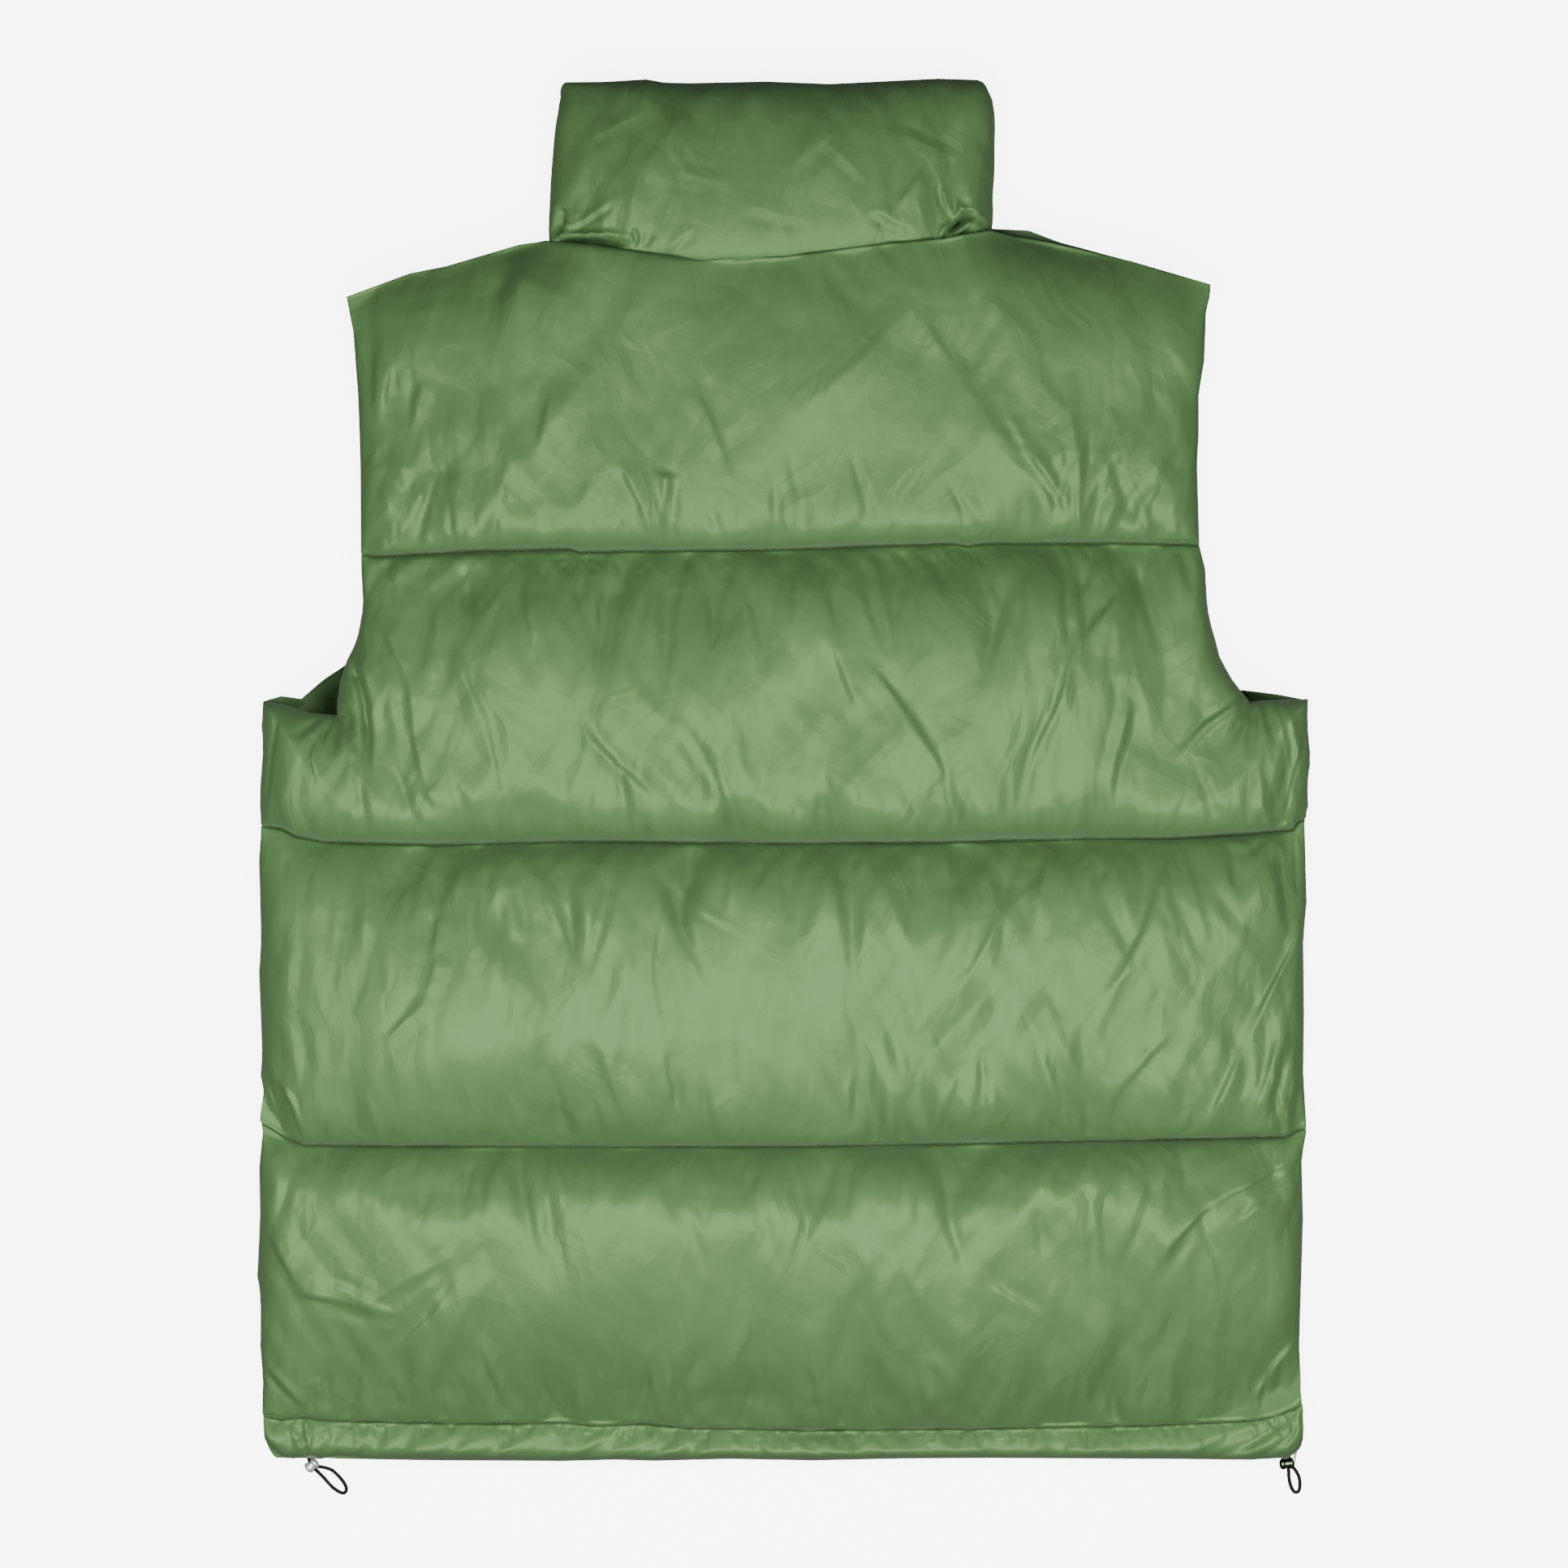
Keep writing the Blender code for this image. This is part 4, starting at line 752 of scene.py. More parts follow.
def fold(points, cut, present, held, near_seam, clear, fill, low, stages):
    """Settles a panel at coarse spacing and then at finer ones, and keeps 60 % of the change,
    less within 90 mm of a free edge. Each stage gives the spacing, the steps, and the shares by
    which the cloth is longer across at its seams, across far from them, and along."""
    change = None
    for spacing, steps, at_seam, away, along in stages:
        part = (slice(None, None, spacing), slice(None, None, spacing))
        start = points[part] if change is None else points[part] + change
        own_cut = cut[part] if change is None else start
        grow = away + (at_seam - away) * np.exp(-near_seam[part] / 22)
        done = settle(
            start, own_cut, present[part], held[part], grow, np.full(grow.shape, along),
            steps, fill[part], low[part],
        )
        change = done - points[part]
        change *= np.clip(clear[part] / 90, 0, 1)[..., None] * 0.6
        change = doubled(change)
    while change.shape[0] < points.shape[0]:
        change = doubled(change)
    return points + change


SEAMS = (HEM_SEAM, WAIST_SEAM, CHEST_SEAM, UNDERARM, YOKE_SEAM, NECK_AND_SHOULDERS)
BAND_ROWS = (104, 112, 48, 56, 112)
UNDERARM_ROW = sum(BAND_ROWS[:3])
SEAM_ROWS = (0, 104, 216, 320, 432)
places = stretches(
    (-SIDE_PLACE, -BODY_PLACE, 33), (-BODY_PLACE, BODY_PLACE, 321), (BODY_PLACE, SIDE_PLACE, 33),
)
tables = [seam(table) for table in SEAMS]
back_x, back_y = lattice(places, tuple(zip(tables, tables[1:], BAND_ROWS)), ARMHOLE)
x, y = back_x, back_y
present = np.ones(x.shape, dtype=bool)
present[UNDERARM_ROW + 1:, np.abs(places) > BODY_PLACE + 0.1] = False
coarse = (slice(None, None, 4), slice(None, None, 4))
edge = np.minimum(*(
    distance_to(x, y, free_edge(x[coarse], y[coarse], present[coarse], places[::4], sign))
    for sign in (-1, 1)
))

# Each baffle's own round form, its crest bent by coarse facets, and a fold over its lower seam
slow_x, slow_y = (cloudy(x.shape, 14, 14, seed) * 4.0 for seed in (84, 86))
jagged = 9.0 * facets(x + slow_x, y + slow_y, 85, 25, 0.12, 401)
jagged += 5.0 * facets(x + slow_x, y + slow_y, 46, 12, -0.2, 403)
under_collar = np.clip((132 - np.abs(x + 4)) / 30, 0, 1)
rise, near_seam, roll = np.zeros(x.shape), np.full(x.shape, 1e9), np.zeros(x.shape)
for low, high, (*crest, loft) in zip(SEAM_ROWS[:-1], SEAM_ROWS[1:], CRESTS):
    part = slice(low, high + 1)
    wide = y[high] - y[low]
    share = (y[part] - y[low]) / wide
    near = near_seam[part] = np.minimum(share, 1 - share) * wide
    bent = np.clip(share + jagged[part] * np.clip(near / 24, 0, 1) / wide, 0, 1)
    swell = plump(bent, *crest)
    rise[part] = loft * swell
    if high == SEAM_ROWS[-1]:
        full = loft * np.where(bent > crest[0], 1 - (1 - YOKE_END) * (1 - swell), swell)
        rise[part] += (full - rise[part]) * under_collar[part]
    roll[part] = np.maximum(roll[part], swelling(share, 0.07))

# Small folds that hang from every seam, on its upper side and then on its lower one
calm = rounded(near_seam, SEAM_CALM) * rounded(edge, EDGE_CALM)
hung = []
for k, table in enumerate((YOKE_SEAM, CHEST_SEAM, WAIST_SEAM, HEM_SEAM)):
    half = 230 if table is YOKE_SEAM else 280
    own = seam(table)
    deep = 2.6 if table is WAIST_SEAM else 3.6
    raised = 2.2 if table is YOKE_SEAM else 3.2
    # edge, way, from X, to X, pitch, begin, reach, width, depth, seed
    hung += hung_darts(own, 1, -half, half, 17, 12, 50, 8, raised, 70 + k)
    hung += hung_darts(own, 1, -half, half, 8, 8, 15, 3.5, 1.0, 50 + k)
    if table is not HEM_SEAM:
        hung += hung_darts(own, -1, -half, half, 17, 14, 76, 10, deep, 60 + k)
        hung += hung_darts(own, -1, -half, half, 7, 10, 18, 3.5, 1.2, 40 + k)
PINCH_REACH = 15
for at_x, at_y, count in PINCHES:
    for turn in np.radians(np.linspace(18, 162, count)):
        for way in (-1, 1):
            to_x, to_y = PINCH_REACH * math.cos(turn), way * PINCH_REACH * math.sin(turn)
            hung.append((at_x, at_y, at_x + to_x, at_y + to_y, 0.8, 3.2, 1.6, 0))

# The relief of all folds, then the wall's height, and the cloth settled into its folds
calmer = np.clip(0.65 + (y + 215) / 60, 0.65, 1) * np.clip(1 - (y - 165) / 110, 0.45, 1)
warp_x, warp_y = (cloudy(x.shape, 9, 9, seed) * 1.3 for seed in (81, 83))
relief = darts(x + warp_x + 0.5 * slow_x, y + warp_y + 0.5 * slow_y, DARTS)
relief += darts(x + warp_x, y + warp_y, BENT_DARTS + tuple(hung))
relief += crumple(x + slow_x, y + slow_y, 101) * (3.2 + np.exp(-near_seam / 30)) * calmer
inner = lie(y) + LAYER_GAP
fullness = 1 + 0.05 * cloudy(x.shape, 44, 18, 3)
height = WALL + rise * rolled(edge) * fullness
gather = cloudy(x.shape, 6, 14, 5)
height += gather * np.exp(-near_seam / 16) * rounded(near_seam, 5) * rounded(edge, 10)
height += cloudy(x.shape, 16, 14, 7) * 1.6 * calm
outer = inner + np.maximum(height, WALL * 0.7)
points = np.stack([x, y - 3.0 * roll * rounded(edge, 25), outer], -1)
cut = points.copy()
cut[..., 0] += cloudy(x.shape, 44, 30, 9) * 5.0 * calm
held = (near_seam < 0.5) | (edge < 0.5)
# Spacing in points, steps, and how much longer the cloth is: at seams, away from them, along
BACK_STAGES = ((8, 60, 0.05, 0.03, 0.012), (4, 50, 0.02, 0.012, 0.006))
low_points = inner + 2.5
points = fold(points, cut, present, held, near_seam, edge, outer - 3.0, low_points, BACK_STAGES)
points[..., 2] = np.maximum(points[..., 2] + relief * calm, inner + 3.0)
inner = np.stack([x, y, inner], -1)
SEWN_STRIP = ((-0.6, -2.6), (0.6, -2.4), (1.5, 1.2))  # Y and Z from the seam, for three rows
for k, name in enumerate(("baffle_hem", "baffle_waist", "baffle_chest", "yoke")):
    rows = slice(SEAM_ROWS[k], SEAM_ROWS[k + 1] + 1)
    shape, under = points[rows].copy(), inner[rows].copy()
    pucker = cloudy((1, len(places)), 2.4, 1, 301 + k)[0] * (0.18 if k else 0.5)
    for row, (along, above) in enumerate(SEWN_STRIP):
        shape[row, :, 1] = y[rows][0] + along + pucker
        shape[row, :, 2] = inner[rows][0, :, 2] + WALL + above + 0.5 * pucker
    shape[-1, :, 1] -= SEAM_GAP
    under[-1, :, 1] -= SEAM_GAP
    panel_mesh(f"back_{name}", shape, under, present[rows], True, "back", 1)

# ---- Fronts ----------------------------------------------------------------------------------
# Left and right front: the same baffles underneath, pressed flat but for their creases where
# they rest. Their lining shows in a hollow under each armhole, its dark colour painted shade.
NECK_LEFT, NECK_RIGHT, NECK_LOW = -128.5, 115.0, 240.0
FRONT_LOFT = 54.0
HOLLOW, DEEPEST = (248, 44, 22, 22), (245, 37, 7, 9)  # X, Y, width, height under each armhole
FRONT_STAGES = ((2, 60, 0.05, 0.03, 0.015),)  # as BACK_STAGES
PRESSED, LOW_FRONT = 0.3, 2.0  # height of the pressed underside, and the thinnest wall above it
ZIP_EDGE = 8.0  # half the gap that the fronts and the collar leave for the zip
SHOULDER_RIGHT = ((116, 298.5), (138, 297.5), (155, 291.1), (195, 280.5), (240, 267.5))
FRONT_UNDERARM = (
    (-290, 38.1), (-268, 41), (-240, 39.5), (-180, 40.5), (180, 41.5), (240, 44.5), (265, 42),
    (290, 38.6),
)
FRONT_ARMHOLE = (
    (39.1, -265.5, 258.3), (42.7, -261.2, 253.2), (49.5, -253.6, 244.8), (54.6, -246, 239.2),
    (58, -240.5, 236), (73.2, -227.6, 224.7),
    (98.9, -216.8, 216.8), (148.4, -213.8, 213.8), (197.9, -218.7, 218.7), (237.5, -227.7, 226.7),
    (260.5, -235.8, 234.8),
)
FRONT_ROWS = (52, 56, 26, 28, 54)
FRONT_SEAM_ROWS = (0, 52, 108, 162, 216)


def front_top(sign):
    """The front's upper edge: from the zip the neck, which climbs as the 2.2nd power of the
    way to its corner, then the shoulder."""
    corner = NECK_LEFT if sign < 0 else NECK_RIGHT
    shoulder = NECK_AND_SHOULDERS if sign < 0 else SHOULDER_RIGHT
    end = read(shoulder, corner)

    def top(across):
        neck = NECK_LOW + (end - NECK_LOW) * np.abs(across / corner) ** 2.2
        return np.where(np.abs(across) <= abs(corner), neck, read(shoulder, across))

    return top


def dent(x, y, at_x, at_y, wide, high):
    """1 at a place on either side and fading round it:
    exp(-((y - at_y) / high) ** 2) exp(-((|x| - at_x) / wide) ** 2)."""
    return np.exp(-((y - at_y) / high) ** 2) * np.exp(-((np.abs(x) - at_x) / wide) ** 2)


def by_zip(x):
    """The share of its loft that a wall keeps near the zip."""
    return 0.14 + 0.86 * rounded(np.abs(x) - ZIP_EDGE, 34.0)


# The lining's dark green is painted shade, darker than the shell cloth so that the hollow under
# each armhole reads dark; its small uneven tones are random.
shaded_lining_cloth, tree, shader = principled(
    "lining_painted_shade", (0.034, 0.068, 0.025), 0.5, specular=0.25,
)
place = node(tree, "TexCoord", "Object")
shade = node(tree, "TexNoise", "Fac", {"Vector": place, "Scale": 60.0})
threads = node(tree, "TexNoise", "Fac", {"Vector": place, "Scale": 1400.0})
tone = two_tones(tree, shade, (0.026, 0.055, 0.019), (0.042, 0.082, 0.031))
tree.links.new(tone, shader.inputs["Base Color"])
tree.links.new(bump(tree, threads, 0.15, 0.0002), shader.inputs["Normal"])

front_places = stretches((ZIP_EDGE, BODY_PLACE, 81), (BODY_PLACE, SIDE_PLACE, 17))
front_seams = {}
for name, sign in (("left", -1), ("right", 1)):
    across = np.sort(sign * front_places)
    tables = [seam(t) for t in (HEM_SEAM, WAIST_SEAM, CHEST_SEAM, FRONT_UNDERARM, YOKE_SEAM)]
    bands = tuple(zip(tables, tables[1:] + [front_top(sign)], FRONT_ROWS))
    x, y = lattice(across, bands, FRONT_ARMHOLE, ZIP_EDGE)
    there = np.ones(x.shape, dtype=bool)
    there[sum(FRONT_ROWS[:3]) + 1:, np.abs(across) > BODY_PLACE + 0.1] = False
    chain = free_edge(x[::2, ::2], y[::2, ::2], there[::2, ::2], across[::2], sign)
    edge = distance_to(x, y, chain)
    rise, near_seam = np.zeros(x.shape), np.full(x.shape, 1e9)
    for low, high in zip(FRONT_SEAM_ROWS[:-1], FRONT_SEAM_ROWS[1:]):
        part = slice(low, high + 1)
        wide = y[high] - y[low]
        share = (y[part] - y[low]) / wide
        rise[part] = arc(share, wide[None, :], FRONT_LOFT)
        near_seam[part] = np.minimum(share, 1 - share) * wide
    from_zip = np.abs(x) - ZIP_EDGE
    lining = lie(y) - LAYER_GAP
    thick = WALL + rise * rolled(edge) * by_zip(x)
    hung = []
    for k, table in enumerate((YOKE_SEAM, CHEST_SEAM, WAIST_SEAM, HEM_SEAM)):
        own = seam(table)
        low, high = sorted((sign * 20, sign * (215 if table is YOKE_SEAM else 275)))
        hung += hung_darts(own, 1, low, high, 20, 12, 55, 9, 4.0, 160 + 20 * sign + k)
        if table is not HEM_SEAM:
            hung += hung_darts(own, -1, low, high, 20, 14, 76, 11, 4.4, 120 + 20 * sign + k)
    creases = darts(x + 4 * np.sin(y / 17), y, tuple(hung)) + 1.8 * crumple(x, y, 151 + 40 * sign)
    creases *= rounded(near_seam, SEAM_CALM) * rounded(edge, EDGE_CALM) * rounded(from_zip, 14)
    thick += creases
    swollen = cloudy(x.shape, 7, 9, 11 + sign) * 1.2
    gathered = cloudy(x.shape, 2.4, 7, 15 + sign) * 1.2
    thick += swollen * rounded(near_seam, 16) * rounded(edge, EDGE_CALM)
    thick += gathered * np.exp(-near_seam / 16) * rounded(edge, 10)
    held = (near_seam < 0.5) | (edge < 0.5) | (from_zip < 0.5)
    mirrored = np.stack([x, y, thick], -1)
    low_points = np.full(x.shape, LOW_FRONT)
    mirrored = fold(
        mirrored, mirrored, there, held, near_seam, edge, thick + 2, low_points, FRONT_STAGES,
    )
    outer = mirrored.copy()
    dip = 2 + 13 * rounded(edge, EDGE_CALM) + 2.0 * facets(x, y, 17, 9, 0.6 * sign, 191)
    dip = dip * dent(x, y, *HOLLOW) + 14 * dent(x, y, *DEEPEST)
    rests = PRESSED + np.clip(-1.2 * creases - 0.4, 0, 4)
    outer[..., 2] = np.maximum(lining - np.maximum(mirrored[..., 2], dip + 3.0), rests)
    lining_points = np.stack([x, y, lining - dip], -1)
    front_seams[name] = [outer[r][there[r]][2:-2] for r in FRONT_SEAM_ROWS[:4]]
    panel_mesh(
        f"front_{name}_padded", outer, lining_points, there, False, f"front_{name}",
        lining=shaded_lining_cloth,
    )

# ---- Collar ----------------------------------------------------------------------------------
# One padded wall from the zip round both side folds and back, sewn to the neck. Its lower edge
# bulges over the neck seam and crumples at both folds.
COLLAR_TOP = (
    (-121.2, 379.7), (-99.3, 379.9), (-85.4, 380.7), (-75.5, 381.3), (-65.6, 379.5), (-51.7, 379.2),
    (-8.9, 380.1), (25.8, 378.7), (53.6, 380.1), (85.4, 381.7), (107.3, 381), (111.3, 378.7),
)
# share of the height, left X, right X of the outline
COLLAR_SIDES = (
    (0, -128.2, 114.6), (0.2, -127.9, 115.2), (0.5, -127.3, 115.9), (0.8, -126, 115.6),
    (0.92, -125, 114.9), (1, -123.2, 112.4),
)
COLLAR_ROWS = 97
COLLAR_LOFT, COLLAR_SIDE_LOFT = 27.0, 18.0
COLLAR_BULGE = 8.0  # how far its lower edge hangs over the neck seam
FRONT_LOWER = 12.0  # how much lower its front half is at the top
# X and Y of two or more points, half width at each end, depth, and the ridge's side
COLLAR_DARTS = (
    (-121.9, 310, -122.9, 303.3, -124.4, 297.7, -125.8, 291, 2.4, 2.8, 9.0, 0),
    (-125, 291, -117, 302.5, -110, 316, 4.0, 4.5, 2.6, -1),
    (-119, 293.5, -116.4, 295.7, -102.6, 304.3, -90, 313, 3.5, 6.0, 2.2, 1),
    (-127, 291, -115.4, 292.0, -95.6, 292.0, -81, 289.5, 4.0, 4.5, 6.0, 1),
    (-126, 290.5, -113, 290.0, -97, 289.0, -82, 288.0, 2.8, 2.8, 9.0, 0),
    (-82.3, 296, -80.1, 290.7, -81.4, 285, 2.4, 2.4, 3.0, 0),
    (-77, 285, -70, 297, 2.5, 5.0, 1.3, 0), (-64, 282, -48, 297, 4.0, 8.0, 1.5, 1),
    (87.4, 321, 86.7, 316.7, 87.7, 311.2, 90.6, 305.7, 95.5, 300.5, 5.0, 4.0, 2.6, 1),
    (97.1, 314.5, 97.9, 307.7, 97.6, 304.2, 94.1, 299.7, 88.6, 295.7, 87.1, 292.2, 87.5, 286,
     3.4, 3.2, 8.0, -1),
    (106, 304.5, 101, 304, 97, 301, 93, 298.3, 90, 295, 3.6, 3.2, 12.0, 0),
    (96, 308.4, 106, 304.2, 109.5, 302, 114.5, 298, 2.6, 2.6, 3.4, 1),
    (88, 290.2, 97.1, 296.2, 104, 301.2, 110, 303.6, 3.4, 3.0, -1.6, 0),
    (93, 288.2, 102, 296.2, 107, 301.2, 111.5, 303, 1.8, 1.8, 5.0, 0),
    (103, 290, 110, 297.5, 1.6, 2.6, 1.8, 0), (108, 290, 113.5, 296, 1.6, 2.6, 1.8, 0),
    (75.7, 329.3, 57.7, 303.5, 14, 10, 1.6, 1), (33, 351.1, -1.4, 324.2, 16, 11, 1.2, -1),
    (-71.7, 352.1, -47.1, 315.3, 16, 11, 1.3, 1), (-23.9, 308, 17.9, 298.1, 12, 9, 0.6, 1),
    (-60, 330, -30, 322, 12, 9, 1.1, -1), (47, 306.2, 71.7, 293.9, 9, 7, 1.8, 1),
    (20, 345, 48, 318, 12, 8, 1.0, 1), (-105, 350, -96, 322, 10, 8, 1.2, -1),
    (-108, 344, -72, 362, 9, 9, 1.0, 1), (60, 352, 96, 336, 10, 8, 1.1, -1),
)


def collar_side(share, sign):
    """X of the collar's outline at a share of its height."""
    return read(COLLAR_SIDES, share, 1 if sign < 0 else 2)


share = np.linspace(0, 1, COLLAR_ROWS)[:, None]
slit_left, slit_right = collar_side(0, -1) + WALL, collar_side(0, 1) - WALL
# Each stretch of the wall from the zip round to the zip: X of its middle and the turn of its
# outward side at both ends, and its count
base_x, turn = np.concatenate([
    np.linspace(*ends, count) for *ends, count in (
        ((-ZIP_EDGE, -90), (slit_left, -90), 75),
        ((slit_left, -97.5), (slit_left, -262.5), 23),
        ((slit_left, 90), (slit_right, 90), 221),
        ((slit_right, 82.5), (slit_right, -82.5), 23),
        ((slit_right, -90), (ZIP_EDGE, -90), 69),
    )
]).T[:, None]
turn = np.radians(turn)
upward = np.sin(turn)
lower_layer = (1 - upward) / 2
seam_x = base_x + WALL * np.cos(turn)
front_neck = np.where(base_x < 0, front_top(-1)(seam_x), front_top(1)(seam_x))
weight = np.clip(upward, 0, 1)
seam_y = read(NECK_AND_SHOULDERS, seam_x) * weight + front_neck * (1 - weight) + SEAM_GAP
round_wall = arc(share, 2.0, 0.9) / 0.9
side_wall = WALL + COLLAR_SIDE_LOFT * round_wall
left = collar_side(share, -1) + side_wall
right = collar_side(share, 1) - side_wall
slit_end = np.where(base_x < 0, left, right)
slit_base = np.where(base_x < 0, left[0], right[0])
reach = np.clip((np.abs(base_x) - ZIP_EDGE) / (np.abs(slit_base) - ZIP_EDGE), 0, 1)
front_x = np.sign(base_x) * (ZIP_EDGE + reach * (np.abs(slit_end) - ZIP_EDGE))
x = np.where(upward < -0.99, front_x, base_x * slit_end / slit_base)
top_y = read(COLLAR_TOP, x) - FRONT_LOWER * lower_layer
y = seam_y + (top_y - seam_y) * share
middle = lie(y)
to_side = np.minimum(x - left, right - x)
upper_round = np.sqrt(np.maximum(round_wall, 0) * np.where(share < 0.5, 1, round_wall))
upper_wall = WALL + COLLAR_LOFT * upper_round * (0.55 + 0.45 * climbing(to_side + 10, 80))
lower_wall = WALL + FRONT_LOFT * 0.7 * round_wall * by_zip(x)
layer = np.where(upward > 0, upper_wall, np.minimum(lower_wall, middle - PRESSED))
wall = side_wall * np.cos(turn) ** 2 + layer * upward ** 2
tall = top_y - seam_y
from_end = np.minimum(share, 1 - share) * tall
rough = cloudy(x.shape, 13, 12, 21) * 0.6
rough += cloudy(x.shape, 3.8, 7, 23) * 0.5 * np.exp(-share * tall / 14)
wall = wall + rough * rounded(from_end, 14)
bulge = COLLAR_BULGE * weight * swelling(share, 0.09)
around = x + wall * np.cos(turn)
relief = darts(around, y - bulge, COLLAR_DARTS) * rounded(share * tall, 2.5)
relief += crumple(around * 1.3, y * 1.3, 221) * 1.5 * rounded(from_end, 12)
wall = wall + relief * weight
level = np.maximum(middle + (wall + SEAM_GAP) * upward, PRESSED)
outer = np.stack([x + wall * np.cos(turn), y - bulge, level], -1)
inner = np.stack([x + 1.5 * np.cos(turn), y, middle + SEAM_GAP * upward], -1)
index = np.arange(x.size).reshape(x.shape)
other = index + x.size
quads = [
    np.stack([g[:-1, :-1], g[:-1, 1:], g[1:, 1:], g[1:, :-1]], -1).reshape(-1, 4)
    for g in (index, other)
]
quads[1] = quads[1][:, ::-1]
for line, back in (
    (index[0], other[0]), (other[-1], index[-1]), (other[:, 0], index[:, 0]),
    (index[:, -1], other[:, -1]),
):
    quads.append(np.stack([line[1:], line[:-1], back[:-1], back[1:]], -1))
quads = np.concatenate(quads)[:, ::-1]
points = np.vstack([outer.reshape(-1, 3), inner.reshape(-1, 3)])
piece = mesh_object("collar_padded", points, quads.tolist(), nylon, "nylon", "collar")

# ---- Hem bands -------------------------------------------------------------------------------
# The narrow drawcord tunnel along the hem, one band under the back and one under each front.
# The elastic inside draws it up, so it is full of small slanting gathers.
HEM_EDGE = (
    (-290, -371), (-286, -375.8), (-281, -379.5), (-277, -381.3), (-263, -381.3), (-254, -381.8),
    (-247.5, -380.7), (-242, -380), (-234, -380.9), (-223, -381.8), (-182, -382.7), (-119, -383),
    (-90, -382.2), (-70, -382.9), (-29, -381.8), (16, -382.7), (60, -381.6), (106, -381.3),
    (196, -381.8), (241, -382.3), (268, -381.3), (275, -381.8), (282, -379), (288, -375.4),
    (290, -371),
)
HEM_POINTS = 23
HEM_LOFT, GATHERS = 8.4, 0.9
# Stronger folds by the locks: X and Y of points, half width at each end, depth, ridge side
HEM_DARTS = (
    (-266.5, -356.5, -263.2, -369.6, -260.9, -382, 3.4, 3.0, 4.6, 1),
    (-271, -362, -267.4, -369.6, -262.4, -382, 3.0, 2.6, 3.4, -1),
    (-272.5, -364, -270, -376, 2.4, 2.4, 2.6, 1), (-256, -360, -250, -374, 2.2, 3.0, 2.4, 1),
    (-238, -366, -235.4, -378, 2.4, 2.4, 2.4, 1), (-229, -370, -224, -380, 2.2, 2.2, 1.8, -1),
    (264, -355, 271, -364, 278, -371, 4.0, 4.0, 2.4, -1), (257, -357, 262, -374, 4.0, 4.0, 1.6, 1),
    (281, -352, 284, -370, 4.0, 4.0, 1.4, 1),
)


def hem_band(name, band_places, armhole, centre, sign, seed):
    """A tunnel: a plump arc from the folded edge to the seam. Two seeded noises along it raise
    and lower it as gathers, and are shifted along it by lean * height, so that they slant."""
    bands = ((seam(HEM_EDGE), seam(HEM_SEAM, -SEAM_GAP), HEM_POINTS - 1),)
    x, y = lattice(band_places, bands, armhole, centre)
    count = len(band_places)
    share = np.linspace(0, 1, HEM_POINTS)[:, None]
    rise = HEM_LOFT * plump(share, 0.36, 2.0, 1.35)
    lean = cloudy((1, count), 18, 1, seed) * 0.9
    at = np.arange(count)[None, :] + 20 + lean * (y - y[0]) / 1.5
    fine = cloudy((1, 2 * count), 2.3, 1, seed + 1)[0]
    broad = cloudy((1, 2 * count), 7.0, 1, seed + 2)[0]
    drawn = np.arange(2 * count)
    pleats = np.interp(at, drawn, fine) + 0.8 * np.interp(at, drawn, broad)
    ends = rounded(np.abs(np.abs(x) - np.abs(x).max()), 12)
    body = 1.0 + 2.2 * rounded(share, 0.2)
    body = body + (rise + GATHERS * pleats * rise / 6.5) * np.maximum(ends, 0.25)
    drawn_up = hung_darts(seam(HEM_SEAM), -1, -284, 284, 3.6, 1.0, 9, 2.6, 2.6, seed + 3)
    drawn_up += hung_darts(seam(HEM_SEAM), -1, -284, 284, 11, 8, 15, 4.4, 2.0, seed + 4)
    relief = darts(x, y, tuple(drawn_up) + HEM_DARTS)
    body += relief * rounded(np.minimum(share, 1 - share), 0.12)
    flat = lie(y) + sign * LAYER_GAP
    outer = np.stack([x, y, np.maximum(flat + sign * np.maximum(body, 0.6), PRESSED)], -1)
    inner = np.stack([x, y, flat], -1)
    panel_mesh(name + "_padded", outer, inner, np.ones(x.shape, dtype=bool), sign > 0, name)


hem_band("hem_back", places, ARMHOLE, 0.0, 1, 31)
half = stretches((ZIP_EDGE, BODY_PLACE, 156), (BODY_PLACE, SIDE_PLACE, 33))
hem_band("hem_front_left", -half[::-1], FRONT_ARMHOLE, ZIP_EDGE, -1, 41)
hem_band("hem_front_right", half, FRONT_ARMHOLE, ZIP_EDGE, -1, 51)

# ---- Stitches --------------------------------------------------------------------------------
# Green thread along every seam that quilts the body: short rounded stitches a little above the
# cloth, one joined mesh for the back and one for each front.
STITCH_PITCH = 2.7
STITCH_LONG = 1.9
STITCH_THICK = 0.5
thread = grained(
    "green_thread", (0.055, 0.105, 0.038), (0.6, 0.0, 0.2), ("TexWave", "Fac", {"Scale": 1500.0}),
    (0.038, 0.076, 0.027), (0.064, 0.120, 0.044), bands_direction="DIAGONAL",
)


def copies(points, faces):
    """Many copies of one small form as one mesh: points are (copy, point, XYZ)."""
    step = points.shape[1]
    shifted = [[i + k * step for i in face] for k in range(len(points)) for face in faces]
    return points.reshape(-1, 3), shifted


